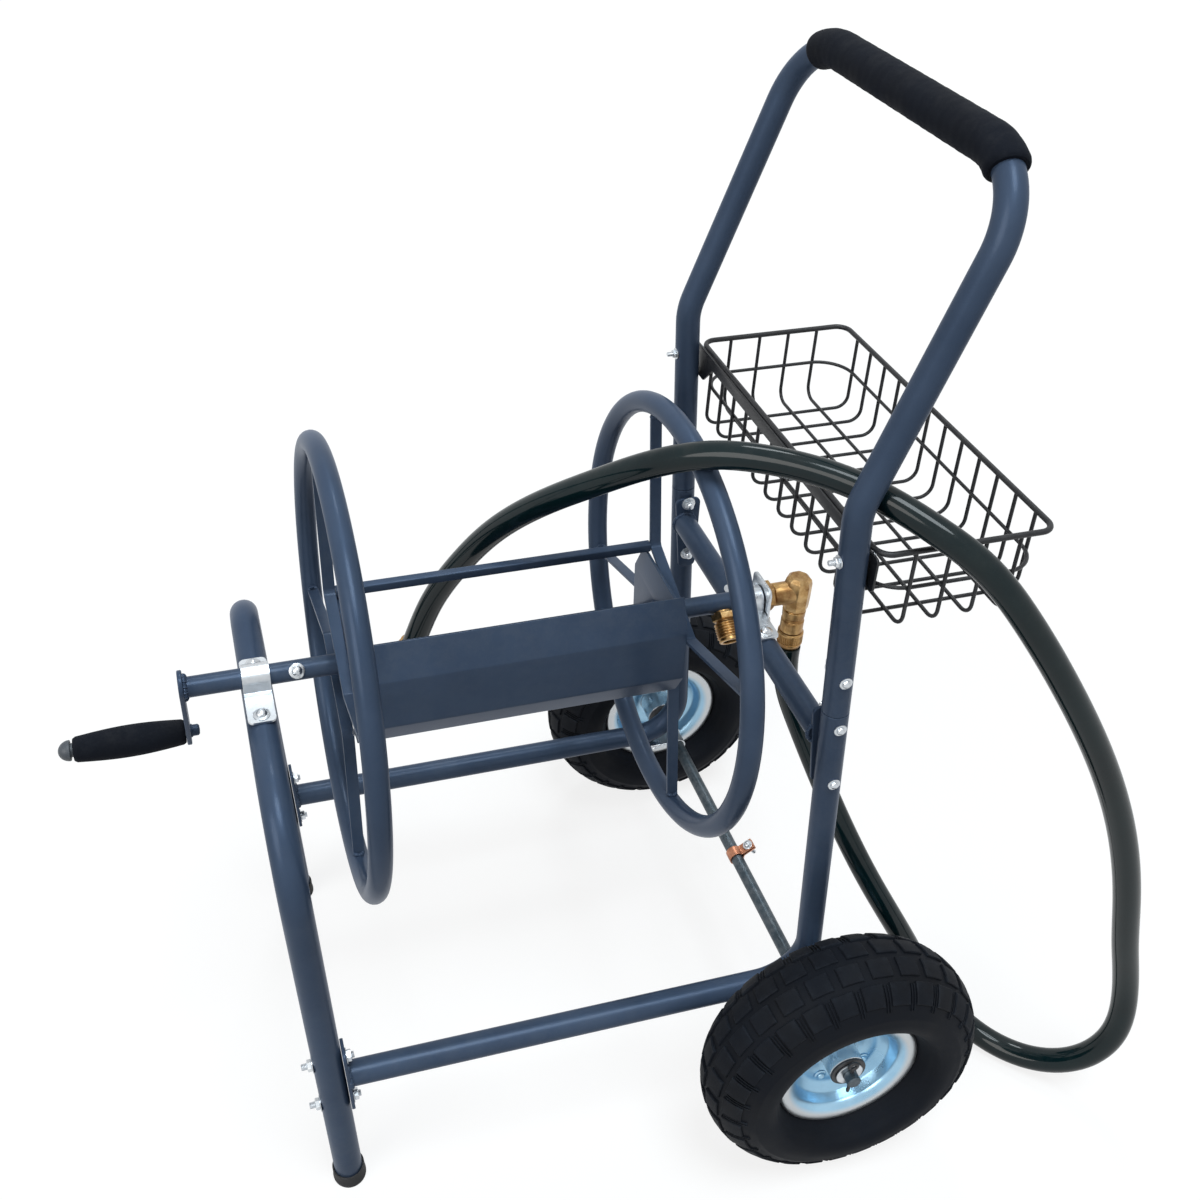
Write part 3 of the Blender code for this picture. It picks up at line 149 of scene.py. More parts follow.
# Fine grain and slow mottle of a surface, as a height and a tone
grain_group, given, made = new_group("surface_grain", {"Grain": 900.0, "Mottle": 12.0}, ("Height", "Tone"))
place = put(grain_group, "ShaderNodeTexCoord").outputs["Object"]
fine = put(grain_group, "ShaderNodeTexNoise", {"Vector": place, "Scale": given["Grain"], "Detail": 2.0})
slow = put(grain_group, "ShaderNodeTexNoise", {"Vector": place, "Scale": given["Mottle"], "Detail": 5.0,
                                               "Roughness": 0.6})
feed(grain_group, made["Height"], fine.outputs["Fac"])
feed(grain_group, made["Tone"], ranged(grain_group, slow.outputs["Fac"], 0.0, 1.0, 0.3, 0.7))

# Rubbed edges: outer corners of a piece, broken up by noise
wear_group, given, made = new_group("edge_wear", {"Amount": 0.5, "Grain": 60.0}, ("Mask",))
place = put(wear_group, "ShaderNodeTexCoord").outputs["Object"]
corner = put(wear_group, "ShaderNodeNewGeometry").outputs["Pointiness"]
patches = put(wear_group, "ShaderNodeTexNoise", {"Vector": place, "Scale": given["Grain"], "Detail": 6.0,
                                                 "Roughness": 0.7})
exposed = ranged(wear_group, corner, 0.0, 1.0, 0.52, 0.62)
broken = ranged(wear_group, patches.outputs["Fac"], 0.0, 1.0, 0.42, 0.62)
feed(wear_group, made["Mask"], times(wear_group, times(wear_group, exposed, broken), given["Amount"]))

# Dust that has settled on whatever faces up
dust_group, given, made = new_group("settled_dust", {"Amount": 0.2, "Grain": 30.0}, ("Mask",))
place = put(dust_group, "ShaderNodeTexCoord").outputs["Object"]
facing = put(dust_group, "ShaderNodeSeparateXYZ",
             {"Vector": put(dust_group, "ShaderNodeNewGeometry").outputs["Normal"]}).outputs["Z"]
specks = put(dust_group, "ShaderNodeTexNoise", {"Vector": place, "Scale": given["Grain"], "Detail": 8.0,
                                                "Roughness": 0.75})
upward = ranged(dust_group, facing, 0.15, 1.0, 0.0, 0.9)
drift = ranged(dust_group, specks.outputs["Fac"], 0.0, 1.0, 0.45, 0.75)
feed(dust_group, made["Mask"], times(dust_group, times(dust_group, upward, drift), given["Amount"]))


def use_group(tree, group, **values):
    return put(tree, "ShaderNodeGroup", {k.replace("_", " "): v for k, v in values.items()},
               node_tree=group).outputs


def relief(tree, height, strength, distance):
    """Normal of a bump whose height is in metres times distance."""
    return put(tree, "ShaderNodeBump", {"Height": height, "Strength": strength,
                                        "Distance": distance}).outputs["Normal"]


slate_coat, tree, sockets = new_finish("slate_powder_coat", Metallic=0.16, Specular_IOR_Level=0.10,
                                       Specular_Tint=(0.40, 0.52, 0.75), Coat_Weight=0.08,
                                       Coat_Roughness=0.16)
skin = use_group(tree, grain_group, Grain=850.0, Mottle=9.0)
rubbed = use_group(tree, wear_group, Amount=0.45, Grain=70.0)["Mask"]
dusty = use_group(tree, dust_group, Amount=0.05, Grain=26.0)["Mask"]
coat = mixed(tree, rubbed, mixed(tree, skin["Tone"], SLATE, SLATE_PALE), RUBBED_COAT)
feed(tree, sockets["Base Color"], mixed(tree, dusty, coat, YARD_DUST))
feed(tree, sockets["Roughness"], ranged(tree, skin["Tone"], 0.30, 0.42))
feed(tree, sockets["Normal"], relief(tree, skin["Height"], 0.25, 0.0003))


def bent(corners, radius, closed=False, step=math.radians(6)):
    """Straight runs joined by arcs of one bend radius."""
    corners = [Vector(corner) for corner in corners]
    if closed:
        triples = list(zip(corners[-1:] + corners[:-1], corners, corners[1:] + corners[:1]))
        points = []
    else:
        triples = list(zip(corners, corners[1:], corners[2:]))
        points = [corners[0]]
    for before, corner, after in triples:
        inward = (before - corner).normalized()
        outward = (after - corner).normalized()
        turn = math.pi - inward.angle(outward)
        reach = radius * math.tan(turn / 2)
        centre = corner + (inward + outward).normalized() * (radius / math.cos(turn / 2))
        start = corner + inward * reach - centre
        end = corner + outward * reach - centre
        steps = max(3, round(turn / step))
        for number in range(steps + 1):
            angle = turn * number / steps
            points.append(centre + start * (math.sin(turn - angle) / math.sin(turn))
                          + end * (math.sin(angle) / math.sin(turn)))
    if not closed:
        points.append(corners[-1])
    return points


def finished_mesh(name, points, faces, sharp=38):
    mesh = bpy.data.meshes.new(name)
    mesh.from_pydata([tuple(p) for p in points], [], faces)
    shape = bmesh.new()
    shape.from_mesh(mesh)
    bmesh.ops.recalc_face_normals(shape, faces=shape.faces)
    shape.to_mesh(mesh)
    shape.free()
    mesh.shade_smooth()
    mesh.set_sharp_from_angle(angle=math.radians(sharp))
    return mesh


def swept(name, path, radius, sides=24, closed=False, lip=0.0008):
    """Round bar along a path. The radius is one number or one for each point."""
    points = [Vector(p) for p in path]
    radii = list(radius) if hasattr(radius, "__len__") else [radius] * len(points)
    if not closed:
        first = (points[1] - points[0]).normalized()
        last = (points[-1] - points[-2]).normalized()
        points = [points[0], points[0] + first * lip] + points[1:-1] + [points[-1] - last * lip, points[-1]]
        radii = [radii[0] - lip, radii[0]] + radii[1:-1] + [radii[-1], radii[-1] - lip]
    count = len(points)
    if closed:
        headings = [(points[(i + 1) % count] - points[i - 1]).normalized() for i in range(count)]
    else:
        headings = [(points[min(i + 1, count - 1)] - points[max(i - 1, 0)]).normalized()
                    for i in range(count)]
    side = headings[0].orthogonal().normalized()
    rings = []
    for i, (point, heading, size) in enumerate(zip(points, headings, radii)):
        if i:
            side = headings[i - 1].rotation_difference(heading) @ side
        up = heading.cross(side)
        for s in range(sides):
            angle = 2 * math.pi * s / sides
            rings.append(point + (side * math.cos(angle) + up * math.sin(angle)) * size)
    faces = []
    for i in range(count if closed else count - 1):
        j = (i + 1) % count
        for s in range(sides):
            t = (s + 1) % sides
            faces.append((i * sides + s, i * sides + t, j * sides + t, j * sides + s))
    if not closed:
        faces += [tuple(range(sides))[::-1], tuple(range((count - 1) * sides, count * sides))]
    return finished_mesh(name, rings, faces)


def join_meshes(name, meshes):
    """Several meshes as one, each left where it is."""
    shape = bmesh.new()
    for mesh in meshes:
        shape.from_mesh(mesh)
        bpy.data.meshes.remove(mesh)
    joined = bpy.data.meshes.new(name)
    shape.to_mesh(joined)
    shape.free()
    return joined


def fit(name, mesh, body, material, slot, *nodes):
    """A finished piece in its place: it rides its body and stands for its solids."""
    made = bpy.data.objects.new(name, join_meshes(name, mesh) if isinstance(mesh, list) else mesh)
    bpy.context.scene.collection.objects.link(made)
    made.data.materials.append(material)
    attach(made, body)
    if nodes:
        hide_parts(*nodes)
    return made


def hoop_x(height):
    return HOOP_TOP_X + (hoop_z - height) * math.tan(HOOP_LEAN)


sole_z = FOOT_SOLE + GAP
hoop_path = bent([(hoop_x(sole_z), -FRAME_HALF_WIDTH, sole_z), (HOOP_TOP_X, -FRAME_HALF_WIDTH, hoop_z),
                  (HOOP_TOP_X, FRAME_HALF_WIDTH, hoop_z), (hoop_x(sole_z), FRAME_HALF_WIDTH, sole_z)],
                 HOOP_BEND_RADIUS, step=math.radians(4))
fit("hoop_tube", swept("hoop_tube", hoop_path, HOOP_TUBE_RADIUS, 32), "frame", slate_coat, "powder_coat",
    "front_hoop")


# Feet. Thin moulded black rubber ferrules pushed onto the ends of the hoop, with a small
# flare round the sole, which is cut level, and scuffed grey where they meet the ground.

FOOT_HEIGHT = 0.014
FOOT_WALL = 0.0015
FOOT_FLARE = 0.0005
RUBBER_BLACK = (0.014, 0.015, 0.017)
RUBBER_WORN = (0.034, 0.034, 0.036)

rubber, tree, sockets = new_finish("black_rubber", Specular_IOR_Level=0.35)
skin = use_group(tree, grain_group, Grain=1400.0, Mottle=22.0)
rubbed = use_group(tree, wear_group, Amount=0.6, Grain=120.0)["Mask"]
dusty = use_group(tree, dust_group, Amount=0.12, Grain=45.0)["Mask"]
gum = mixed(tree, rubbed, mixed(tree, skin["Tone"], RUBBER_BLACK, RUBBER_WORN), (0.07, 0.07, 0.072))
feed(tree, sockets["Base Color"], mixed(tree, dusty, gum, YARD_DUST))
feed(tree, sockets["Roughness"], ranged(tree, skin["Tone"], 0.62, 0.80))
feed(tree, sockets["Normal"], relief(tree, skin["Height"], 0.35, 0.0002))


def turned(name, profile, steps=48, closed=False, sharp=38):
    """Solid turned about its own Z, from (radius, height) pairs."""
    points, rings = [], []
    for radius, height in profile:
        if radius < 1e-7:
            rings.append([len(points)] * steps)
            points.append((0.0, 0.0, height))
            continue
        rings.append(list(range(len(points), len(points) + steps)))
        for s in range(steps):
            angle = 2 * math.pi * s / steps
            points.append((radius * math.cos(angle), radius * math.sin(angle), height))
    faces = []
    pairs = list(zip(rings, rings[1:])) + ([(rings[-1], rings[0])] if closed else [])
    for upper, lower in pairs:
        for s in range(steps):
            t = (s + 1) % steps
            corners = []
            for index in (upper[s], upper[t], lower[t], lower[s]):
                if index not in corners:
                    corners.append(index)
            if len(corners) > 2:
                faces.append(tuple(corners))
    return finished_mesh(name, points, faces, sharp)


def stand(mesh, place, heading=(0, 0, 1), roll=0.0):
    """Moves a mesh made about its own Z to its place, with its Z along the heading."""
    turn = Vector(heading).to_track_quat("Z", "Y").to_matrix().to_4x4()
    mesh.transform(Matrix.Translation(Vector(place)) @ turn @ Matrix.Rotation(roll, 4, "Z"))
    return mesh


cup_inner = HOOP_TUBE_RADIUS + GAP
cup_outer = cup_inner + FOOT_WALL
cup_profile = [(0, FOOT_SOLE - GAP), (cup_inner, FOOT_SOLE - GAP), (cup_inner, FOOT_HEIGHT - 0.0003),
               (cup_inner + 0.0003, FOOT_HEIGHT), (cup_outer - 0.0004, FOOT_HEIGHT),
               (cup_outer, FOOT_HEIGHT - 0.0004), (cup_outer, FOOT_SOLE),
               (cup_outer + FOOT_FLARE, FOOT_SOLE * 0.7), (cup_outer + FOOT_FLARE, 0.0002),
               (cup_outer + FOOT_FLARE - 0.0005, -FOOT_SOLE / 2), (0, -FOOT_SOLE / 2)]
for side, y in (("near", -FRAME_HALF_WIDTH), ("far", FRAME_HALF_WIDTH)):
    cup = stand(turned("foot", cup_profile), (hoop_x(0.0), y, 0.0),
                (-math.sin(HOOP_LEAN), 0, math.cos(HOOP_LEAN)))
    for vertex in cup.vertices:
        vertex.co.z = max(vertex.co.z, 0.0)
    fit(f"foot_{side}_cup", cup, "frame", rubber, "rubber", f"foot_cap_{side}")


# Side frames. Rail and rear leg of each side are one tube, bent at the wheel. Its front
# end is welded to a small plate that two plated bolts hold to the back of the hoop's leg.

FRAME_TUBE_RADIUS = 0.0111
RAIL_Z = 0.1457
LEG_X_AT_REEL = 0.2266
LEG_LEAN = -0.0673
FRAME_BEND_RADIUS = 0.045
SEAM_Z = 0.475
RAIL_PLATE_SIZE = (0.024, 0.076)
RAIL_PLATE_THICKNESS = 0.003
RAIL_BOLT_SPREAD = 0.028
RAIL_BOLT_DROP = 0.0027
RAIL_NUT_SIZE = 0.0046
TUBE_BED = 0.0004
ZINC_BRIGHT = (0.640, 0.680, 0.720)
ZINC_DULL = (0.500, 0.530, 0.560)

zinc, tree, sockets = new_finish("bright_zinc", Metallic=1.0)
skin = use_group(tree, grain_group, Grain=700.0, Mottle=55.0)
rubbed = use_group(tree, wear_group, Amount=0.5, Grain=140.0)["Mask"]
plated = mixed(tree, skin["Tone"], ZINC_DULL, ZINC_BRIGHT)
feed(tree, sockets["Base Color"], mixed(tree, rubbed, plated, (0.78, 0.78, 0.77)))
feed(tree, sockets["Roughness"], ranged(tree, skin["Tone"], 0.34, 0.24))
feed(tree, sockets["Normal"], relief(tree, skin["Height"], 0.06, 0.0002))


def leg_x(height):
    return LEG_X_AT_REEL + LEG_LEAN * (height - REEL_Z)


def weld(centre, heading, radius, bead=0.0018, start=0.0, end=2 * math.pi):
    """Rippled bead round a joint."""
    heading = Vector(heading).normalized()
    side = heading.orthogonal().normalized()
    up = heading.cross(side)
    whole = end - start > 6.28
    steps = max(12, round(72 * (end - start) / (2 * math.pi)))
    path, sizes = [], []
    for i in range(steps if whole else steps + 1):
        angle = start + (end - start) * i / steps
        path.append(Vector(centre) + (side * math.cos(angle) + up * math.sin(angle)) * radius)
        sizes.append(bead * (1 + 0.16 * math.sin(i * 2.4) + 0.08 * math.sin(i * 1.1 + 1)))
    return swept("weld", path, sizes, 10, whole, 0.0005)


def domed_bolt(place, heading, size=0.0052):
    """Round-headed bolt on its washer."""
    washer = turned("washer", [(0, 0), (size * 1.42, 0), (size * 1.5, 0.0003), (size * 1.5, 0.0010),
                               (size * 1.4, 0.0013), (0, 0.0013)], 28)
    dome = [(size * math.cos(a), 0.0013 + size * 0.78 * math.sin(a))
            for a in [math.pi / 2 * i / 7 for i in range(8)]]
    head = turned("head", [(0, 0.0012), (size, 0.0012)] + dome[:-1] + [(0, 0.0013 + size * 0.78)], 28)
    return stand(join_meshes("bolt", [washer, head]), place, heading)


def nut_and_tail(place, heading, size=0.0050, tail=0.004):
    """Hexagon nut on a washer, with the threaded end of its bolt standing out."""
    washer = turned("washer", [(0, 0), (size * 1.42, 0), (size * 1.5, 0.0003), (size * 1.5, 0.0009),
                               (0, 0.0009)], 28)
    high = 0.0009 + size * 0.86
    hexagon = turned("nut", [(0, 0.0008), (size * 0.96, 0.0008), (size * 1.12, 0.0014),
                             (size * 1.12, high - 0.0006), (size * 0.94, high), (0, high)], 6, sharp=15)
    thread = [(0, high - 0.001)]
    turns = max(2, round(tail / 0.0008))
    for i in range(turns):
        z = high + tail * i / turns
        thread += [(size * 0.56, z), (size * 0.62, z + tail / turns * 0.5)]
    thread += [(size * 0.5, high + tail), (0, high + tail)]
    return stand(join_meshes("nut", [washer, hexagon, turned("thread", thread, 20)]), place, heading, 0.4)


def plate(name, outlines, thickness, edge=0.0006):
    """Flat plate with softened edges, lying in XY, from its outline and its holes."""
    curve = bpy.data.curves.new(name, "CURVE")
    curve.dimensions = "2D"
    curve.fill_mode = "BOTH"
    curve.extrude = thickness / 2 - edge
    curve.bevel_depth = edge
    curve.bevel_resolution = 2
    curve.offset = -edge
    for outline in outlines:
        spline = curve.splines.new("POLY")
        spline.points.add(len(outline) - 1)
        for point, corner in zip(spline.points, outline):
            point.co = (corner[0], corner[1], 0.0, 1.0)
        spline.use_cyclic_u = True
    holder = bpy.data.objects.new("holder", curve)
    bpy.context.scene.collection.objects.link(holder)
    graph = bpy.context.evaluated_depsgraph_get()
    mesh = bpy.data.meshes.new_from_object(holder.evaluated_get(graph), depsgraph=graph)
    bpy.data.objects.remove(holder, do_unlink=True)
    shape = bmesh.new()
    shape.from_mesh(mesh)
    bmesh.ops.remove_doubles(shape, verts=shape.verts, dist=0.00001)
    bmesh.ops.recalc_face_normals(shape, faces=shape.faces)
    shape.to_mesh(mesh)
    shape.free()
    mesh.materials.clear()
    mesh.shade_smooth()
    mesh.set_sharp_from_angle(angle=math.radians(40))
    return mesh


# Turns that lay a flat plate's (x, y) along the cart's (Y, Z) or (X, Z)
FACE_X = Matrix(((0, 0, 1, 0), (1, 0, 0, 0), (0, 1, 0, 0), (0, 0, 0, 1)))
FACE_Y = Matrix(((1, 0, 0, 0), (0, 0, -1, 0), (0, 1, 0, 0), (0, 0, 0, 1)))


def lay(mesh, turn, place):
    mesh.transform(Matrix.Translation(Vector(place)) @ turn)
    return mesh


along_rail = Vector((math.cos(HOOP_LEAN), 0, math.sin(HOOP_LEAN)))
plate_away = HOOP_TUBE_RADIUS + GAP + RAIL_PLATE_THICKNESS / 2
plate_wide, plate_tall = RAIL_PLATE_SIZE
plate_corners = [(x * plate_wide / 2, z * plate_tall / 2, 0) for x, z in ((-1, -1), (1, -1), (1, 1), (-1, 1))]
for side, y in (("near", -FRAME_HALF_WIDTH), ("far", FRAME_HALF_WIDTH)):
    hoop_point = Vector((hoop_x(RAIL_Z), y, RAIL_Z))
    rail_start = hoop_point + along_rail * (HOOP_TUBE_RADIUS + RAIL_PLATE_THICKNESS + 2 * GAP)
    rail_path = bent([rail_start, (leg_x(RAIL_Z), y, RAIL_Z), (leg_x(SEAM_Z), y, SEAM_Z)], FRAME_BEND_RADIUS)
    fit(f"rail_and_leg_{side}", swept("rail_and_leg", rail_path, FRAME_TUBE_RADIUS, 28, lip=0.0004), "frame",
        slate_coat, "powder_coat", f"side_frame_{side}")
    end_plate = plate("end_plate", [bent(plate_corners, 0.006, True)], RAIL_PLATE_THICKNESS)
    lay(end_plate, Matrix.Rotation(-HOOP_LEAN, 4, "Y") @ FACE_X, hoop_point + along_rail * plate_away)
    fit(f"rail_end_{side}", [end_plate, weld(rail_start, along_rail, FRAME_TUBE_RADIUS, 0.0020)], "frame",
        slate_coat, "powder_coat", f"rail_plate_{side}")
    down_leg = Vector((-math.sin(HOOP_LEAN), 0, math.cos(HOOP_LEAN)))
    bolts = []
    for step in (-1, 1):
        middle = hoop_point + down_leg * (step * RAIL_BOLT_SPREAD - RAIL_BOLT_DROP)
        plate_face = middle + along_rail * (HOOP_TUBE_RADIUS + RAIL_PLATE_THICKNESS + GAP)
        tube_front = middle - along_rail * (HOOP_TUBE_RADIUS - TUBE_BED)
        bolts.append(nut_and_tail(plate_face, along_rail, RAIL_NUT_SIZE, 0.0022))
        bolts.append(nut_and_tail(tube_front, -along_rail, RAIL_NUT_SIZE, 0.0050))
    fit(f"rail_bolts_{side}", bolts, "frame", zinc, "zinc")


# Crossbar. Short tube between the rear legs, under the shaft, with a tapered steel tab
# welded across each end. Two bolts hold each tab to the inner side of the leg, and a third
# above them holds the handle in the leg.

CROSSBAR_X = 0.2245
TAB_TOP_Z = 0.468
TAB_BOTTOM_Z = 0.385
TAB_TOP_WIDTH = 0.026
TAB_BOTTOM_WIDTH = 0.017
TAB_THICKNESS = 0.003
TAB_CORNER = 0.006
LEG_BOLT_HEIGHTS = (0.512, 0.4625, 0.4020)
LEG_BOLT_SIZE = 0.0036
LEG_NUT_SIZE = 0.0046
crossbar_z = REEL_Z - SHAFT_RADIUS - FRAME_TUBE_RADIUS - RUN_GAP
tab_y = FRAME_HALF_WIDTH - FRAME_TUBE_RADIUS - GAP - TAB_THICKNESS / 2
crossbar_reach = tab_y - TAB_THICKNESS / 2
tab_top, tab_bottom = leg_x(TAB_TOP_Z), leg_x(TAB_BOTTOM_Z)
tab_corners = [(tab_top - TAB_TOP_WIDTH / 2, TAB_TOP_Z, 0),
               (tab_bottom - TAB_BOTTOM_WIDTH / 2, TAB_BOTTOM_Z, 0),
               (tab_bottom + TAB_BOTTOM_WIDTH / 2, TAB_BOTTOM_Z, 0),
               (tab_top + TAB_TOP_WIDTH / 2, TAB_TOP_Z, 0)]
crossbar_line = [(CROSSBAR_X, y, crossbar_z) for y in (-crossbar_reach, 0, crossbar_reach)]
bar_parts = [swept("crossbar", crossbar_line, FRAME_TUBE_RADIUS, 28, lip=0.0002)]
for sign in (-1, 1):
    tab = plate("tab", [bent(tab_corners, TAB_CORNER, True)], TAB_THICKNESS)
    bar_parts.append(lay(tab, FACE_Y, (0, sign * tab_y, 0)))
    bar_parts.append(weld((CROSSBAR_X, sign * crossbar_reach, crossbar_z), (0, 1, 0), FRAME_TUBE_RADIUS,
                          0.0018))
fit("crossbar_and_tabs", bar_parts, "frame", slate_coat, "powder_coat", "rear_crossbar")
outer = FRAME_HALF_WIDTH + FRAME_TUBE_RADIUS - 0.0005
for side, sign in (("near", -1), ("far", 1)):
    leg_bolts = []
    for height in LEG_BOLT_HEIGHTS:
        x = leg_x(height)
        inner = FRAME_HALF_WIDTH - FRAME_TUBE_RADIUS
        if height < SEAM_Z:
            inner -= TAB_THICKNESS + GAP
        leg_bolts.append(domed_bolt((x, sign * outer, height), (0, sign, 0), LEG_BOLT_SIZE))
        leg_bolts.append(nut_and_tail((x, sign * (inner + 0.0003), height), (0, -sign, 0), LEG_NUT_SIZE,
                                      0.003))
    fit(f"leg_bolts_{side}", leg_bolts, "frame", zinc, "zinc")


# Handle. The upper half of the frame: one tube that carries on from the legs, kinks back
# and crosses between them. It plugs into the legs at a fine seam.

KINK_Z = 0.668
HANDLE_Z = 0.912
HANDLE_LEAN = math.radians(19.0)
HANDLE_BEND_RADIUS = 0.060
kink_x = leg_x(KINK_Z)
handle_x = kink_x + (HANDLE_Z - KINK_Z) * math.tan(HANDLE_LEAN)


def handle_route(start_z):
    """Up the near side from a height, across, and down the far side to it."""
    corners = []
    for y in (-FRAME_HALF_WIDTH, FRAME_HALF_WIDTH):
        kink = Vector((kink_x, y, KINK_Z))
        corner = Vector((handle_x, y, HANDLE_Z))
        if start_z < KINK_Z:
            side = [Vector((leg_x(start_z), y, start_z)), kink, corner]
        else:
            side = [kink.lerp(corner, (start_z - KINK_Z) / (HANDLE_Z - KINK_Z)), corner]
        corners += side if y < 0 else side[::-1]
    return bent(corners, HANDLE_BEND_RADIUS, step=math.radians(4))


fit("handle_bow", swept("handle_bow", handle_route(SEAM_Z + GAP), FRAME_TUBE_RADIUS, 28), "frame", slate_coat,
    "powder_coat", "handle_tube")


# Handle grip. A sleeve of black closed-cell foam pulled over the top of the handle and the
# first third of each bend, a little uneven along its length and blunt at both ends.

HANDLE_GRIP_RADIUS = 0.016
HANDLE_GRIP_TURN = math.radians(31.5)
FOAM_BLACK = (0.0030, 0.0042, 0.0075)
FOAM_GREY = (0.0075, 0.0105, 0.0180)

foam, tree, sockets = new_finish("black_foam", Specular_IOR_Level=0.12)
skin = use_group(tree, grain_group, Grain=1100.0, Mottle=30.0)
object_place = put(tree, "ShaderNodeTexCoord").outputs["Object"]
cells = put(tree, "ShaderNodeTexVoronoi", {"Vector": object_place, "Scale": 1500.0})
pores = ranged(tree, cells.outputs["Distance"], 0.0, 1.0, 0.05, 0.45)
dusty = use_group(tree, dust_group, Amount=0.06, Grain=60.0)["Mask"]
spongy = mixed(tree, times(tree, pores, skin["Tone"]), FOAM_BLACK, FOAM_GREY)
feed(tree, sockets["Base Color"], mixed(tree, dusty, spongy, YARD_DUST))
feed(tree, sockets["Roughness"], ranged(tree, skin["Tone"], 0.72, 0.88))
feed(tree, sockets["Normal"], relief(tree, pores, 0.45, 0.0003))


def even_path(path, spacing, trim):
    """The same route in even steps, shorter at both ends."""
    path = [Vector(p) for p in path]
    run = [0.0]
    for before, after in zip(path, path[1:]):
        run.append(run[-1] + (after - before).length)
    kept = run[-1] - 2 * trim
    steps = max(4, round(kept / spacing))
    even, k = [], 0
    for i in range(steps + 1):
        at = trim + kept * i / steps
        while k < len(run) - 2 and run[k + 1] < at:
            k += 1
        even.append(path[k].lerp(path[k + 1], (at - run[k]) / (run[k + 1] - run[k])))
    return even


bare_bend = HANDLE_BEND_RADIUS * (math.pi / 2 - HANDLE_GRIP_TURN)
sleeve_path = even_path(handle_route(HANDLE_Z - 2 * HANDLE_BEND_RADIUS)[1:-1], 0.002, bare_bend)
sleeve_sizes = []
for i, point in enumerate(sleeve_path):
    mouth = min(1.0, min(i, len(sleeve_path) - 1 - i) / 2)
    size = HANDLE_GRIP_RADIUS - 0.0003 - 0.0009 * (1 - mouth)
    sleeve_sizes.append(size + 0.00015 * math.sin(i * 0.9) * math.sin(i * 0.37 + 1.0))
sleeve = swept("handle_foam", sleeve_path, sleeve_sizes, 40, lip=0.0010)
grip = fit("handle_foam", sleeve, "frame", foam, "foam", "handle_grip")


# Reel shaft. A steel tube that carries the water, from the crank to the brass inlet, held
# down on the hoop and on the crossbar by a zinc strap at each end, with a cross bolt.

SHAFT_FRONT_X = -0.2715
SHAFT_BORE_RADIUS = 0.0060
INLET_PLATE_THICKNESS = 0.0025
CROSS_BOLT_X = -0.180
CROSS_BOLT_TURN = math.radians(35)
CROSS_BOLT_SIZE = 0.0044
SADDLE_THICKNESS = 0.002
FRONT_SADDLE_WIDTH = 0.023
REAR_SADDLE_WIDTH = 0.021
SADDLE_NEAR_TAB = 0.038
SADDLE_FAR_TAB = 0.022
SADDLE_CORNER = 0.005
SADDLE_SCREWS = (-0.0396, 0.0240)
SADDLE_SCREW_SIZE = 0.0046
WASHER_BED = 0.0002
plate_front_x = CROSSBAR_X + FRAME_TUBE_RADIUS + GAP
shaft_rear_x = plate_front_x + INLET_PLATE_THICKNESS + RUN_GAP
shaft_half = (shaft_rear_x - SHAFT_FRONT_X) / 2
shaft_profile = [(SHAFT_RADIUS - 0.0006, shaft_half), (SHAFT_RADIUS, shaft_half - 0.0006),
                 (SHAFT_RADIUS, -shaft_half + 0.0006), (SHAFT_RADIUS - 0.0006, -shaft_half),
                 (SHAFT_BORE_RADIUS, -shaft_half), (SHAFT_BORE_RADIUS, shaft_half)]
shaft = stand(turned("shaft", shaft_profile, 32, closed=True),
              ((shaft_rear_x + SHAFT_FRONT_X) / 2, 0, REEL_Z), (1, 0, 0))
fit("shaft_tube", shaft, "reel", slate_coat, "powder_coat", "reel_shaft")
bolt_seat = SHAFT_RADIUS - TUBE_BED
bolt_y, bolt_z = bolt_seat * math.cos(CROSS_BOLT_TURN), bolt_seat * math.sin(CROSS_BOLT_TURN)
cross_bolt = domed_bolt((CROSS_BOLT_X, -bolt_y, REEL_Z + bolt_z), (0, -bolt_y, bolt_z), CROSS_BOLT_SIZE)
cross_nut = nut_and_tail((CROSS_BOLT_X, bolt_y, REEL_Z - bolt_z), (0, bolt_y, -bolt_z), CROSS_BOLT_SIZE,
                         0.003)
fit("shaft_cross_bolt", [cross_bolt, cross_nut], "reel", zinc, "zinc")


def strap(name, path, across, width, thickness, corner=0.0):
    """Flat strip bent along a path, its width along one direction, with round end corners."""
    path = [Vector(p) for p in path]
    across = Vector(across).normalized()
    half = width / 2
    stations = [(p, half) for p in path]
    if corner:
        for order in (1, -1):
            tip, inner = path[::order][0], path[::order][1]
            inward = (inner - tip).normalized()
            round_end = []
            for i in range(7):
                turn = math.pi / 2 * i / 6
                round_end.append((tip + inward * corner * (1 - math.cos(turn)),
                                  half - corner * (1 - math.sin(turn))))
            stations = round_end + stations[1:] if order == 1 else stations[:-1] + round_end[::-1]
    points, faces = [], []
    for i, (point, reach) in enumerate(stations):
        ahead = stations[min(i + 1, len(stations) - 1)][0] - stations[max(i - 1, 0)][0]
        normal = ahead.cross(across).normalized()
        for u, n in ((-1, -1), (1, -1), (1, 1), (-1, 1)):
            points.append(point + across * (u * reach) + normal * (n * thickness / 2))
    for i in range(len(stations) - 1):
        for s in range(4):
            t = (s + 1) % 4
            faces.append((i * 4 + s, i * 4 + t, i * 4 + 4 + t, i * 4 + 4 + s))
    last = 4 * (len(stations) - 1)
    faces += [(3, 2, 1, 0), (last, last + 1, last + 2, last + 3)]
    return finished_mesh(name, points, faces, 40)


def soften(piece, width=0.0004):
    """Rolls a piece's sharp edges over."""
    edge = piece.modifiers.new("edges", "BEVEL")
    edge.width = width
    edge.segments = 2
    edge.angle_limit = math.radians(50)
    edge.harden_normals = True
    return piece


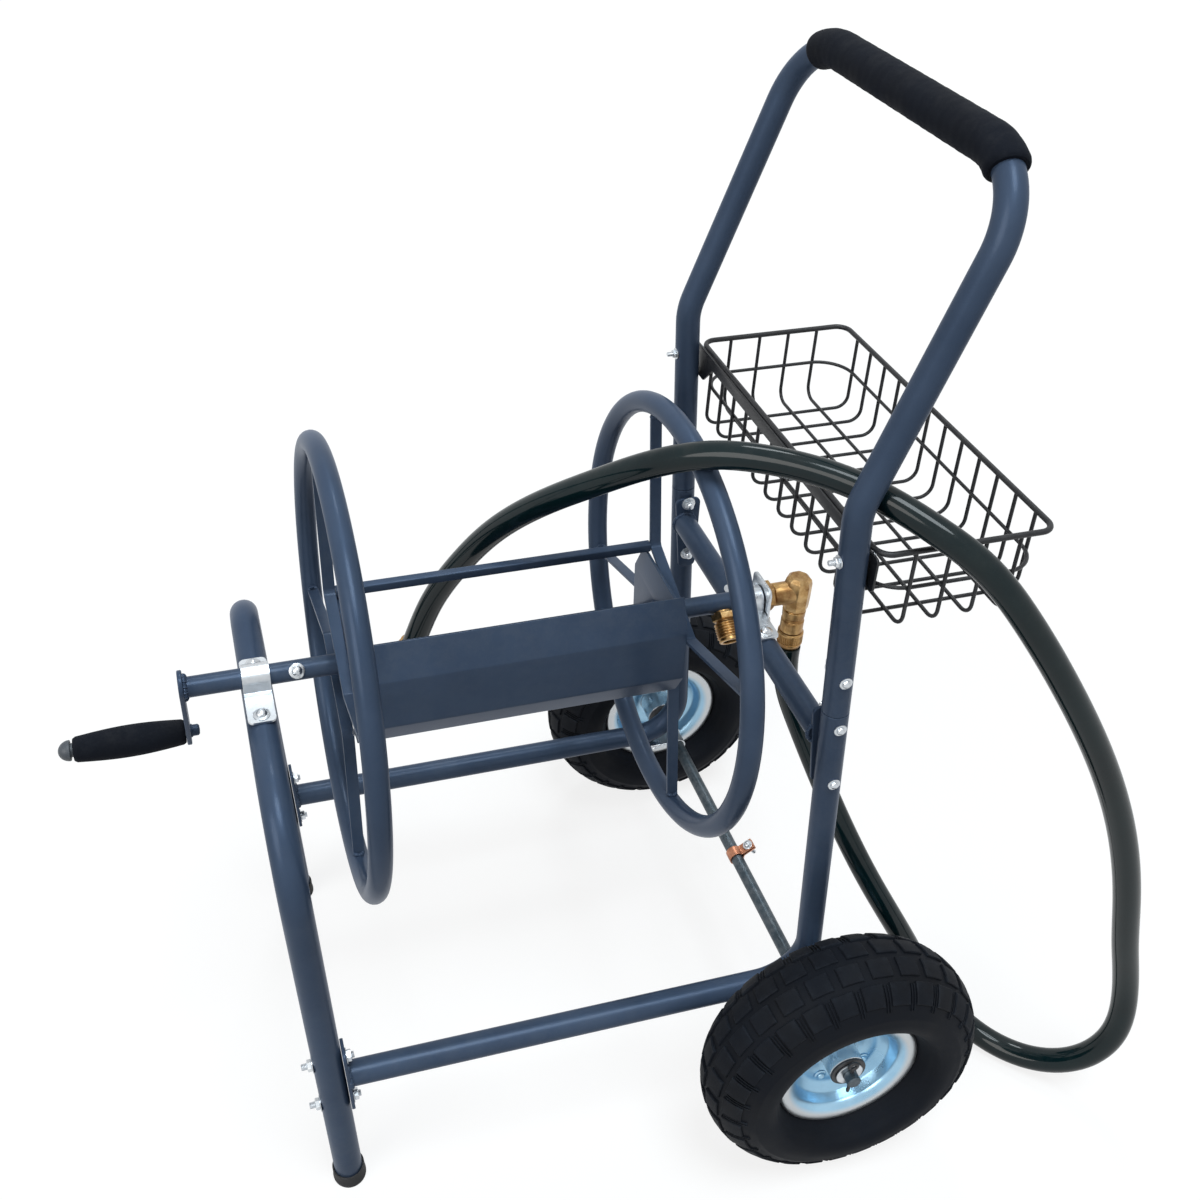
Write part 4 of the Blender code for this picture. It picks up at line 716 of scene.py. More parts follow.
def arc(radius, start, end, steps):
    turns = [start + (end - start) * i / steps for i in range(steps + 1)]
    return [(radius * math.cos(turn), radius * math.sin(turn)) for turn in turns]


saddle_radius = SHAFT_RADIUS + RUN_GAP + SADDLE_THICKNESS / 2
for end, x, bar_top, width in (("front", HOOP_TOP_X, hoop_z + HOOP_TUBE_RADIUS, FRONT_SADDLE_WIDTH),
                               ("rear", CROSSBAR_X, crossbar_z + FRAME_TUBE_RADIUS, REAR_SADDLE_WIDTH)):
    rest = bar_top + GAP + SADDLE_THICKNESS / 2 - REEL_Z
    line = [(-saddle_radius - SADDLE_NEAR_TAB, rest), (-saddle_radius - 0.003, rest),
            (-saddle_radius - 0.0008, rest + 0.0008)]
    line += arc(saddle_radius, math.pi, 0.0, 24)
    line += [(saddle_radius + 0.0008, rest + 0.0008), (saddle_radius + 0.003, rest),
             (saddle_radius + SADDLE_FAR_TAB, rest)]
    saddle = strap("saddle", [(x, y, REEL_Z + z) for y, z in line], (1, 0, 0), width, SADDLE_THICKNESS,
                   SADDLE_CORNER)
    soften(fit(f"saddle_{end}_strap", saddle, "frame", zinc, "zinc", f"{end}_saddle"))
    screw_z = REEL_Z + rest + SADDLE_THICKNESS / 2 - WASHER_BED
    screws = [domed_bolt((x, y, screw_z), (0, 0, 1), SADDLE_SCREW_SIZE) for y in SADDLE_SCREWS]
    fit(f"saddle_{end}_screws", screws, "frame", zinc, "zinc")


# Reel. Two rings of bent tube, each carried by two flat steel bars that are welded to the
# ring and cross beside the shaft. Between them run the folded core and one square stay.

RING_RADIUS = 0.187
RING_TUBE_RADIUS = 0.0095
RING_SPACING = 0.2892
BAR_WIDTH = 0.010
BAR_THICKNESS = 0.003
BAR_FRONT_ANGLE = math.radians(163.5)
BAR_REAR_ANGLE = math.radians(71.0)
BAR_CORNER_A = (-0.059, 0.015)
BAR_CORNER_B = (0.034, 0.049)
BAR_BEND_RADIUS = 0.008
STAY_SIZE = 0.008
CORE_SECTION = ((-0.050, 0.055), (-0.0630, 0.0260), (-0.0645, -0.0200), (-0.050, -0.0457),
                (0.044, -0.0457), (0.0548, -0.0318))
CORE_SHEET = 0.0015
CORE_BEND_RADIUS = 0.005
HUB_PLATE_THICKNESS = 0.0025
HUB_PLATE_TOP = 0.036
HUB_PLATE_SHOULDER = ((0.0585, 0.0120), (0.0420, 0.0425), (-0.0500, 0.0425))
HUB_BOLTS = ((-0.044, 0.006), (-0.040, -0.030), (0.036, -0.030))
HUB_BOLT_SIZE = 0.0042
CORE_BOLTS = ((0.134, -0.036), (0.134, 0.020), (-0.134, -0.036), (-0.134, 0.020))
CORE_BOLT_SIZE = 0.0048
ring_x = RING_SPACING / 2
bar_inner_x = ring_x - BAR_WIDTH / 2 - GAP
bar_reach = RING_RADIUS - RING_TUBE_RADIUS - GAP - BAR_THICKNESS * 0.25
bar_ends = [(bar_reach * math.cos(a), bar_reach * math.sin(a)) for a in (BAR_FRONT_ANGLE, BAR_REAR_ANGLE)]
turns = [2 * math.pi * i / 120 for i in range(120)]
for end, x in (("front", -ring_x), ("rear", ring_x)):
    circle = [(x, RING_RADIUS * math.cos(turn), REEL_Z + RING_RADIUS * math.sin(turn)) for turn in turns]
    fit(f"ring_{end}", swept("ring", circle, RING_TUBE_RADIUS, 24, closed=True), "reel", slate_coat,
        "powder_coat", f"reel_ring_{end}")
    for which, flip in (("upper", 1), ("lower", -1)):
        bar_places = (bar_ends[0], BAR_CORNER_A, BAR_CORNER_B, bar_ends[1])
        corners = [(x, flip * y, REEL_Z + flip * z) for y, z in bar_places]
        bar = strap("bar", bent(corners, BAR_BEND_RADIUS), (1, 0, 0), BAR_WIDTH, BAR_THICKNESS)
        soften(fit(f"bar_{end}_{which}", bar, "reel", slate_coat, "powder_coat", f"flange_bar_{end}_{which}"))
        beads = [weld(corner, Vector(corner) - Vector((x, 0, REEL_Z)), 0.0036, 0.0016)
                 for corner in (corners[0], corners[-1])]
        fit(f"bar_welds_{end}_{which}", beads, "reel", slate_coat, "powder_coat")

core_line = bent([(*corner, 0) for corner in CORE_SECTION], CORE_BEND_RADIUS)
core_path = [(0, point.x, REEL_Z + point.y) for point in core_line]
core = strap("core", core_path, (1, 0, 0), 2 * bar_inner_x, CORE_SHEET)
soften(fit("core_channel", core, "reel", slate_coat, "powder_coat", "reel_core"), 0.0003)


def moved_left(path, distance):
    """A flat path moved to its left, with mitred corners."""
    flat = [Vector((p[0], p[1])) for p in path]
    moved = []
    for i, point in enumerate(flat):
        ahead = flat[min(i + 1, len(flat) - 1)] - flat[min(i, len(flat) - 2)]
        behind = flat[max(i, 1)] - flat[max(i - 1, 0)]
        left_ahead = Vector((-ahead.y, ahead.x)).normalized()
        middle = (left_ahead + Vector((-behind.y, behind.x)).normalized()).normalized()
        moved.append(point + middle * (distance / middle.dot(left_ahead)))
    return moved


hub_inset = CORE_SHEET / 2 + GAP
hub_outline = moved_left(core_line, hub_inset)
share = (HUB_PLATE_TOP - hub_outline[1].y) / (hub_outline[0].y - hub_outline[1].y)
hub_outline[0] = hub_outline[1].lerp(hub_outline[0], share)
hub_outline += [Vector(corner) for corner in HUB_PLATE_SHOULDER]
shaft_hole = arc(SHAFT_RADIUS + GAP, 0, 2 * math.pi * 31 / 32, 31)
for end, sign in (("front", -1), ("rear", 1)):
    x = sign * (bar_inner_x - HUB_PLATE_THICKNESS / 2)
    hub = lay(plate("hub", [hub_outline, shaft_hole], HUB_PLATE_THICKNESS, 0.0004), FACE_X, (x, 0, REEL_Z))
    bead = weld((x - sign * HUB_PLATE_THICKNESS / 2, 0, REEL_Z), (1, 0, 0), SHAFT_RADIUS + 0.0006, 0.0018)
    fit(f"hub_{end}_plate", [hub, bead], "reel", slate_coat, "powder_coat", f"hub_plate_{end}")

stay_corners = [(y * STAY_SIZE / 2, z * STAY_SIZE / 2, 0) for y, z in ((-1, -1), (1, -1), (1, 1), (-1, 1))]
stay = plate("stay", [bent(stay_corners, 0.0012, True, math.radians(20))], 2 * bar_inner_x, 0.0004)
fit("stay_bar", lay(stay, FACE_X, (0, BAR_CORNER_B[0], REEL_Z + BAR_CORNER_B[1])), "reel", slate_coat,
    "powder_coat", "reel_stay")
core_under = REEL_Z + CORE_SECTION[3][1] - CORE_SHEET / 2
core_bolts = [nut_and_tail((x, y, core_under + WASHER_BED), (0, 0, -1), CORE_BOLT_SIZE, 0.006)
              for x, y in CORE_BOLTS]
fit("core_bolts", core_bolts, "reel", zinc, "zinc")
hub_face = bar_inner_x - HUB_PLATE_THICKNESS - WASHER_BED
bar_bolts = []
for sign in (-1, 1):
    for y, z in HUB_BOLTS:
        bar_bolts.append(domed_bolt((sign * hub_face, y, REEL_Z + z), (-sign, 0, 0), HUB_BOLT_SIZE))
fit("hub_bolts", bar_bolts, "reel", zinc, "zinc")


# Outlet union. Cast and turned brass screwed into the side of the shaft near its rear
# end, a hexagon shoulder and a threaded mouth that the wound hose screws onto.

OUTLET_X = 0.1975
OUTLET_ANGLE = math.radians(215.0)
OUTLET_LENGTH = 0.027
OUTLET_RADIUS = 0.0105
BRASS_CLEAN = (0.500, 0.310, 0.125)
BRASS_DULL = (0.200, 0.095, 0.034)

brass, tree, sockets = new_finish("cast_brass", Metallic=1.0)
skin = use_group(tree, grain_group, Grain=900.0, Mottle=70.0)
rubbed = use_group(tree, wear_group, Amount=0.8, Grain=90.0)["Mask"]
cast = mixed(tree, skin["Tone"], BRASS_DULL, BRASS_CLEAN)
feed(tree, sockets["Base Color"], mixed(tree, rubbed, cast, (0.720, 0.510, 0.250)))
feed(tree, sockets["Roughness"], ranged(tree, skin["Tone"], 0.44, 0.28))
feed(tree, sockets["Normal"], relief(tree, skin["Height"], 0.35, 0.0003))

union_base = SHAFT_RADIUS - 0.0006
union_tip = SHAFT_RADIUS + GAP + OUTLET_LENGTH
union_heading = (0, math.cos(OUTLET_ANGLE), math.sin(OUTLET_ANGLE))
union_out = OUTLET_RADIUS
union_profile = [(0.0, union_base), (0.0076, union_base), (0.0076, union_base + 0.0095),
                 (0.0088, union_base + 0.0100)]
for i in range(6):
    z = union_base + 0.0105 + i * 0.0024
    union_profile += [(union_out - 0.0011, z), (union_out, z + 0.0008), (union_out, z + 0.0014),
                      (union_out - 0.0011, z + 0.0022)]
union_profile += [(union_out - 0.0008, union_tip - 0.0008), (union_out - 0.0016, union_tip),
                  (0.0072, union_tip), (0.0066, union_tip - 0.0006), (0.0066, union_tip - 0.014),
                  (0.0, union_tip - 0.014)]
shoulder_profile = [(0.0, union_base + 0.0018), (0.0104, union_base + 0.0018), (0.0116, union_base + 0.0026),
                    (0.0116, union_base + 0.0078), (0.0104, union_base + 0.0086), (0.0, union_base + 0.0086)]
shoulder = turned("union_hex", shoulder_profile, 6, sharp=15)
union = join_meshes("union", [turned("union_body", union_profile, 36), shoulder])
stand(union, (OUTLET_X, 0, REEL_Z), union_heading)
fit("outlet_union", union, "reel", brass, "brass", "outlet_fitting")


# Crank. A flat arm welded to the front end of the shaft, with a plated spindle that the
# grip turns on. A painted cap closes the spindle's end behind the arm.

ARM_LENGTH = 0.082
ARM_ANGLE = math.radians(-67.5)
ARM_WIDTH = 0.024
ARM_TOP_REACH = 0.006
ARM_THICKNESS = 0.004
SPINDLE_RADIUS = 0.004
SPINDLE_TAIL = 0.007
CRANK_GRIP_LENGTH = 0.093
arm_inner_x = SHAFT_FRONT_X - GAP
arm_outer_x = arm_inner_x - ARM_THICKNESS
grip_y, grip_z = ARM_LENGTH * math.cos(ARM_ANGLE), ARM_LENGTH * math.sin(ARM_ANGLE)
top_y, top_z = -ARM_TOP_REACH * math.cos(ARM_ANGLE), -ARM_TOP_REACH * math.sin(ARM_ANGLE)
low_end = arc(ARM_WIDTH / 2, ARM_ANGLE - math.pi / 2, ARM_ANGLE + math.pi / 2, 20)
high_end = arc(ARM_WIDTH / 2, ARM_ANGLE + math.pi / 2, ARM_ANGLE + 3 * math.pi / 2, 20)
arm_outline = [(x + grip_y, y + grip_z) for x, y in low_end] + [(x + top_y, y + top_z) for x, y in high_end]
spindle_hole = [(x + grip_y, y + grip_z) for x, y in arc(SPINDLE_RADIUS + GAP, 0, 2 * math.pi * 23 / 24, 23)]
arm = lay(plate("arm", [arm_outline, spindle_hole], ARM_THICKNESS, 0.0010), FACE_X,
          (arm_inner_x - ARM_THICKNESS / 2, 0, REEL_Z))
arm_bead = weld((arm_inner_x + 0.0006, 0, REEL_Z), (1, 0, 0), SHAFT_RADIUS, 0.0026)
fit("arm_plate", [arm, arm_bead], "reel", slate_coat, "powder_coat", "crank_arm")
spindle_long = CRANK_GRIP_LENGTH + ARM_THICKNESS + RUN_GAP + SPINDLE_TAIL
spindle = turned("spindle", [(0, spindle_long), (SPINDLE_RADIUS - 0.0006, spindle_long),
                             (SPINDLE_RADIUS, spindle_long - 0.0006), (SPINDLE_RADIUS, 0.0008),
                             (SPINDLE_RADIUS - 0.0008, 0), (0, 0)], 28)
stand(spindle, (arm_inner_x + SPINDLE_TAIL, grip_y, REEL_Z + grip_z), (-1, 0, 0))
fit("spindle_rod", spindle, "reel", zinc, "zinc", "grip_spindle")
spindle_cap = turned("spindle_cap",
                     [(0, 0), (0.0058, 0), (0.0058, 0.0012), (0.0050, 0.0018), (0.0050, 0.0062),
                      (0.0038, 0.0076), (0, 0.0080)], 28)
stand(spindle_cap, (arm_inner_x - WASHER_BED, grip_y, REEL_Z + grip_z), (1, 0, 0))
fit("spindle_cap", spindle_cap, "reel", slate_coat, "powder_coat")


# Crank grip. A barrel of black foam that spins on the spindle, fuller in the middle, and
# closed at its free end by a round grey moulded knob on a short neck.

CRANK_GRIP_RADIUS = 0.01375
CRANK_GRIP_END_RADIUS = 0.0107
KNOB_RADIUS = 0.009
KNOB_LENGTH = 0.0105
KNOB_NECK_RADIUS = 0.006
KNOB_NECK_LENGTH = 0.002
KNOB_GREY = (0.046, 0.056, 0.070)
grip_start_x = arm_outer_x - RUN_GAP
barrel = [(SPINDLE_RADIUS + RUN_GAP, 0.0)]
for i in range(41):
    t = i / 40
    size = CRANK_GRIP_END_RADIUS + (CRANK_GRIP_RADIUS - CRANK_GRIP_END_RADIUS) * math.sin(math.pi * t)
    if i in (0, 40):
        size -= 0.0012
    barrel.append((size, CRANK_GRIP_LENGTH * t))
barrel.append((SPINDLE_RADIUS + RUN_GAP, CRANK_GRIP_LENGTH))
crank_foam = fit("crank_foam", stand(turned("crank_foam", barrel, 40, closed=True),
                                     (grip_start_x, grip_y, REEL_Z + grip_z), (-1, 0, 0)),
                 "crank_handle", foam, "foam", "crank_grip")

knob_plastic, tree, sockets = new_finish("grey_moulded_plastic")
skin = use_group(tree, grain_group, Grain=1600.0, Mottle=40.0)
rubbed = use_group(tree, wear_group, Amount=0.5, Grain=200.0)["Mask"]
moulded = mixed(tree, skin["Tone"], KNOB_GREY, (0.072, 0.084, 0.100))
feed(tree, sockets["Base Color"], mixed(tree, rubbed, moulded, (0.18, 0.19, 0.21)))
feed(tree, sockets["Roughness"], ranged(tree, skin["Tone"], 0.38, 0.50))
feed(tree, sockets["Normal"], relief(tree, skin["Height"], 0.2, 0.0002))
knob_base = CRANK_GRIP_LENGTH + GAP
knob_shoulder = knob_base + KNOB_NECK_LENGTH
knob = [(0, knob_base), (KNOB_NECK_RADIUS, knob_base), (KNOB_NECK_RADIUS, knob_shoulder),
        (KNOB_RADIUS - 0.0006, knob_shoulder), (KNOB_RADIUS, knob_shoulder + 0.0006)]
for i in range(1, 13):
    a = math.pi / 2 * i / 12
    knob.append((KNOB_RADIUS * math.cos(a), knob_shoulder + 0.0006 + (KNOB_LENGTH - 0.0006) * math.sin(a)))
knob[-1] = (0, knob_shoulder + KNOB_LENGTH)
fit("crank_knob", stand(turned("crank_knob", knob, 36), (grip_start_x, grip_y, REEL_Z + grip_z), (-1, 0, 0)),
    "crank_handle", knob_plastic, "grey_plastic", "crank_grip_cap")


# Inlet plate. A zinc-plated steel plate bolted behind the crossbar, which keeps the brass
# inlet from turning with the shaft.

INLET_PLATE_WIDTH = 0.036
INLET_PLATE_HEIGHT = 0.068
KEEPER_BOLT_SIZE = 0.0038
KEEPER_BOLT_SPREAD = 0.0120
KEEPER_BOLT_RISE = 0.0030
plate_half = INLET_PLATE_WIDTH / 2
inlet_corners = [(-plate_half, plate_half - INLET_PLATE_HEIGHT, 0),
                 (plate_half, plate_half - INLET_PLATE_HEIGHT, 0), (plate_half, plate_half, 0),
                 (-plate_half, plate_half, 0)]
keeper_hole = arc(SHAFT_RADIUS + RUN_GAP, 0, 2 * math.pi * 31 / 32, 31)
keeper = plate("keeper", [bent(inlet_corners, 0.006, True), keeper_hole], INLET_PLATE_THICKNESS)
lay(keeper, FACE_X, (plate_front_x + INLET_PLATE_THICKNESS / 2, 0, REEL_Z))
keeper_back = plate_front_x + INLET_PLATE_THICKNESS - WASHER_BED
keeper_bolts = [domed_bolt((keeper_back, y, crossbar_z + KEEPER_BOLT_RISE), (1, 0, 0), KEEPER_BOLT_SIZE)
                for y in (-KEEPER_BOLT_SPREAD, KEEPER_BOLT_SPREAD)]
fit("keeper_plate", [keeper] + keeper_bolts, "frame", zinc, "zinc", "inlet_plate")


# Brass inlet. A cast swivel elbow that leaves the shaft and turns down, with flats on its
# body, a groove under its shoulder, and a knurled nut that clamps the leader hose.

INLET_X = 0.2725
INLET_TOP = 0.0165
INLET_BOTTOM = -0.044
INLET_BODY_RADIUS = 0.0124
INLET_BODY_BOTTOM = -0.018
INLET_WAIST_BOTTOM = -0.028
INLET_NECK_RADIUS = 0.0105
INLET_COLLAR_RADIUS = 0.0140
INLET_COLLAR_LENGTH = 0.007
NUT_RADIUS = 0.0118
NUT_LENGTH = 0.018
body_out = INLET_BODY_RADIUS
body_profile = [(0, INLET_TOP), (body_out * 0.66, INLET_TOP), (body_out * 0.92, INLET_TOP - 0.0030),
                (body_out, INLET_TOP - 0.0070), (body_out * 0.99, -0.0070),
                (body_out * 0.95, INLET_BODY_BOTTOM + 0.0012), (body_out * 0.88, INLET_BODY_BOTTOM),
                (0, INLET_BODY_BOTTOM)]
elbow_body = turned("elbow_body", body_profile, 8, sharp=20)
waist = body_out * 0.86
lower_profile = [(0, INLET_BODY_BOTTOM + 0.001), (waist - 0.0014, INLET_BODY_BOTTOM + 0.001),
                 (waist - 0.0014, INLET_BODY_BOTTOM - 0.0012), (waist, INLET_BODY_BOTTOM - 0.0020),
                 (waist - 0.0004, INLET_WAIST_BOTTOM + 0.0012), (waist - 0.0016, INLET_WAIST_BOTTOM),
                 (INLET_NECK_RADIUS - 0.0010, INLET_WAIST_BOTTOM - 0.0010),
                 (INLET_NECK_RADIUS - 0.0010, -0.0308), (INLET_NECK_RADIUS, -0.0318),
                 (INLET_NECK_RADIUS, INLET_BOTTOM + 0.0010), (INLET_NECK_RADIUS - 0.0010, INLET_BOTTOM),
                 (0, INLET_BOTTOM)]
elbow_lower = turned("elbow_lower", lower_profile, 40)
for mesh in (elbow_body, elbow_lower):
    stand(mesh, (INLET_X, 0, REEL_Z), roll=math.pi / 8)
neck_start = shaft_rear_x + GAP
neck_long = INLET_X - neck_start
neck_profile = [(0, 0), (0.0090, 0), (0.0090, INLET_COLLAR_LENGTH + 0.0006),
                (INLET_NECK_RADIUS - 0.0006, 0.0086), (INLET_NECK_RADIUS, 0.0094),
                (INLET_NECK_RADIUS, neck_long), (0, neck_long)]
neck = stand(turned("neck", neck_profile, 36), (neck_start, 0, REEL_Z), (1, 0, 0))
flats = INLET_COLLAR_RADIUS
collar_profile = [(0, GAP), (flats - 0.0012, GAP), (flats, GAP + 0.0010),
                  (flats, INLET_COLLAR_LENGTH - 0.0010), (flats - 0.0012, INLET_COLLAR_LENGTH),
                  (0, INLET_COLLAR_LENGTH)]
collar = stand(turned("collar", collar_profile, 6, sharp=15), (neck_start, 0, REEL_Z), (1, 0, 0))
elbow = fit("inlet_elbow_cast", [elbow_body, elbow_lower, neck, collar], "frame", brass, "brass",
            "inlet_elbow")
soften(elbow, 0.0006)
clamp_top = REEL_Z + INLET_BOTTOM - GAP


def knurled(name, radius, length, ribs=36, depth=0.0007, shoulder=0.0012):
    """Nut with fine lengthwise ribs between plain rims, standing down from its top."""
    levels = [(radius - shoulder, 0.0, 0), (radius, -shoulder, 0), (radius, -0.0026, 0), (radius, -0.0028, 1),
              (radius, -length * 0.62, 1), (radius, -length * 0.63, 0), (radius, -length * 0.70, 0),
              (radius - 0.0020, -length + 0.0004, 0), (radius - 0.0024, -length, 0)]
    steps = ribs * 4
    points, faces = [], []
    for size, height, cut in levels:
        for s in range(steps):
            angle = 2 * math.pi * s / steps
            reach = size - depth * cut * (1 if s % 4 in (2, 3) else 0)
            points.append((reach * math.cos(angle), reach * math.sin(angle), height))
    for i in range(len(levels) - 1):
        for s in range(steps):
            t = (s + 1) % steps
            faces.append((i * steps + s, i * steps + t, (i + 1) * steps + t, (i + 1) * steps + s))
    faces += [tuple(range(steps)), tuple(range((len(levels) - 1) * steps, len(levels) * steps))[::-1]]
    return finished_mesh(name, points, faces, 30)


clamp_nut = stand(knurled("clamp_nut", NUT_RADIUS, NUT_LENGTH), (INLET_X, 0, clamp_top))
clamp_nut = fit("hose_clamp_nut", clamp_nut, "frame", brass, "brass", "hose_inlet_nut")


# Axle. A plated steel rod under the rails, hung in a folded zinc clip at each rail, with
# spacer tubes that set the wheels out, washers, and black split pins through its ends.

AXLE_X = 0.248
AXLE_RADIUS = 0.00635
TYRE_RADIUS = 0.127
WHEEL_Y = 0.239
HUB_RADIUS = 0.0165
HUB_WALL = 0.0022
HUB_INNER_LENGTH = 0.030
HUB_OUTER_LENGTH = 0.020
BUSH_FLANGE = 0.002
BUSH_LENGTH = 0.014
WASHER_THICKNESS = 0.0015
WASHER_RADIUS = 0.0125
PIN_RADIUS = 0.0016
PIN_LENGTH = 0.032
PIN_STANDOFF = 0.0045
PIN_NECK = 0.004
PIN_LOOP_RADIUS = 0.0038
AXLE_TAIL = 0.007
CLIP_THICKNESS = 0.0018
CLIP_WIDTH = 0.018
CLIP_TAB_LENGTH = 0.050
CLIP_LOWER_SHARE = 0.75
CLIP_THROAT = 0.004
CLIP_WRAP_GAP = 0.55
HANGER_BOLT_SIZE = 0.0046
SPACER_WALL = 0.0025
hub_outer_end = HUB_OUTER_LENGTH + GAP + BUSH_FLANGE
hub_inner_end = HUB_INNER_LENGTH + GAP + BUSH_FLANGE
washer_start = hub_outer_end + RUN_GAP
pin_at = washer_start + WASHER_THICKNESS + GAP + PIN_RADIUS + 0.0006
axle_half = WHEEL_Y + pin_at + AXLE_TAIL
axle_profile = [(0, axle_half), (AXLE_RADIUS - 0.001, axle_half), (AXLE_RADIUS, axle_half - 0.001),
                (AXLE_RADIUS, -axle_half + 0.001), (AXLE_RADIUS - 0.001, -axle_half), (0, -axle_half)]

# The rod's steel is coloured a dark grey-blue, darker than plated steel is: painted shade for the shade under
# the rails and the dark it reflects there. Its mottle and its lighter rubbed edges are its own.
axle_steel_painted_shade, tree, sockets = new_finish("axle_steel_with_painted_shade", Metallic=0.8)
skin = use_group(tree, grain_group, Grain=800.0, Mottle=45.0)
rubbed = use_group(tree, wear_group, Amount=0.5, Grain=120.0)["Mask"]
steel_tone_painted_shade = mixed(tree, skin["Tone"], (0.040, 0.058, 0.072), (0.075, 0.100, 0.120))
feed(tree, sockets["Base Color"], mixed(tree, rubbed, steel_tone_painted_shade, (0.26, 0.28, 0.30)))
feed(tree, sockets["Roughness"], ranged(tree, skin["Tone"], 0.36, 0.50))
feed(tree, sockets["Normal"], relief(tree, skin["Height"], 0.2, 0.0002))
axle_rod = stand(turned("axle_rod", axle_profile, 32), (AXLE_X, 0, TYRE_RADIUS), (0, 1, 0))
fit("axle_rod", axle_rod, "frame", axle_steel_painted_shade, "zinc", "axle")

black_plastic, tree, sockets = new_finish("black_moulded_plastic")
skin = use_group(tree, grain_group, Grain=1500.0, Mottle=35.0)
rubbed = use_group(tree, wear_group, Amount=0.6, Grain=160.0)["Mask"]
moulded = mixed(tree, skin["Tone"], (0.014, 0.014, 0.016), (0.026, 0.026, 0.029))
feed(tree, sockets["Base Color"], mixed(tree, rubbed, moulded, (0.10, 0.10, 0.105)))
feed(tree, sockets["Roughness"], ranged(tree, skin["Tone"], 0.36, 0.52))
feed(tree, sockets["Normal"], relief(tree, skin["Height"], 0.25, 0.0002))

clip_radius = AXLE_RADIUS + GAP + CLIP_THICKNESS / 2
clip_upper = RAIL_Z - FRAME_TUBE_RADIUS - GAP - CLIP_THICKNESS / 2 - TYRE_RADIUS
clip_lower = clip_upper - CLIP_THICKNESS - GAP
clip_start = math.asin(min(0.999, clip_upper / clip_radius))
clip_throat = -clip_radius - CLIP_THROAT
clip_line = [(-CLIP_TAB_LENGTH, clip_upper), (clip_throat, clip_upper)]
clip_line += arc(clip_radius, math.pi - clip_start, -math.pi + CLIP_WRAP_GAP, 28)[1:]
clip_line += [(clip_throat, clip_lower), (-CLIP_TAB_LENGTH * CLIP_LOWER_SHARE, clip_lower)]
for side, sign in (("near", -1), ("far", 1)):
    outward = (0, sign, 0)
    bore = AXLE_RADIUS + GAP
    spacer_start = FRAME_HALF_WIDTH + CLIP_WIDTH / 2 + GAP
    spacer_end = WHEEL_Y - hub_inner_end - RUN_GAP
    tube_out = bore + SPACER_WALL
    spacer = turned("spacer", [(tube_out - 0.0004, spacer_end), (tube_out, spacer_end - 0.0004),
                               (tube_out, spacer_start + 0.0004), (tube_out - 0.0004, spacer_start),
                               (bore, spacer_start), (bore, spacer_end)], 32, closed=True)
    fit(f"spacer_{side}", stand(spacer, (AXLE_X, 0, TYRE_RADIUS), outward), "frame", zinc, "zinc",
        f"axle_spacer_{side}")
    inside, outside = WHEEL_Y + washer_start, WHEEL_Y + washer_start + WASHER_THICKNESS
    washer_line = [(WASHER_RADIUS - 0.0003, outside), (WASHER_RADIUS, outside - 0.0003),
                   (WASHER_RADIUS, inside + 0.0003), (WASHER_RADIUS - 0.0003, inside), (bore, inside),
                   (bore, outside)]
    washer = turned("washer", washer_line, 36, closed=True)
    fit(f"washer_{side}", stand(washer, (AXLE_X, 0, TYRE_RADIUS), outward), "frame", zinc, "zinc",
        f"wheel_washer_{side}")
    pin_top = AXLE_RADIUS + PIN_STANDOFF
    pin_line = [(0, 0, pin_top - PIN_LENGTH), (0, 0, pin_top - PIN_NECK)]
    pin_loop = arc(PIN_LOOP_RADIUS, -math.pi / 2, 1.15 * math.pi, 20)
    pin_line += [(x, 0, pin_top + PIN_LOOP_RADIUS + z) for x, z in pin_loop]
    pin = swept("pin", pin_line, PIN_RADIUS, 14, lip=0.0005)
    pin.transform(Matrix.Translation((AXLE_X, sign * (WHEEL_Y + pin_at), TYRE_RADIUS)))
    fit(f"split_pin_{side}", pin, "frame", black_plastic, "black_plastic", f"wheel_pin_{side}")
    hanger_y = sign * FRAME_HALF_WIDTH
    hanger_path = [(AXLE_X + x, hanger_y, TYRE_RADIUS + z) for x, z in clip_line]
    hanger = strap("hanger", hanger_path, (0, 1, 0), CLIP_WIDTH, CLIP_THICKNESS)
    soften(fit(f"hanger_{side}", hanger, "frame", zinc, "zinc", f"axle_clip_{side}"))
    hanger_bolt_x = AXLE_X - CLIP_TAB_LENGTH * 0.5
    hanger_low = TYRE_RADIUS + clip_lower - CLIP_THICKNESS / 2 + WASHER_BED
    hanger_nut = nut_and_tail((hanger_bolt_x, hanger_y, hanger_low), (0, 0, -1), HANGER_BOLT_SIZE, 0.004)
    hanger_head = domed_bolt((hanger_bolt_x, hanger_y, RAIL_Z + FRAME_TUBE_RADIUS - 0.0005), (0, 0, 1))
    fit(f"hanger_bolt_{side}", [hanger_nut, hanger_head], "frame", zinc, "zinc")


# Band clip. A copper-plated pipe clip round the middle of the axle, closed by one small
# plated screw through its two ears.

P_CLIP_Y = -0.006
P_CLIP_WIDTH = 0.011
P_CLIP_EAR = 0.015
P_CLIP_TURN = math.radians(35)
P_CLIP_OPENING = 0.0016
P_CLIP_HOLE = 0.0055
BAND_SCREW_SIZE = 0.0034
BAND_THICKNESS = 0.0012
band_radius = AXLE_RADIUS + GAP + BAND_THICKNESS / 2
band_line = [(band_radius + P_CLIP_EAR, P_CLIP_OPENING), (band_radius + 0.001, P_CLIP_OPENING)]
band_line += arc(band_radius, math.radians(20), math.radians(340), 28)
band_line += [(band_radius + 0.001, -P_CLIP_OPENING), (band_radius + P_CLIP_EAR, -P_CLIP_OPENING)]
ear_out = Vector((math.cos(P_CLIP_TURN), 0, math.sin(P_CLIP_TURN)))
ear_up = Vector((-math.sin(P_CLIP_TURN), 0, math.cos(P_CLIP_TURN)))
band_centre = Vector((AXLE_X, P_CLIP_Y, TYRE_RADIUS))
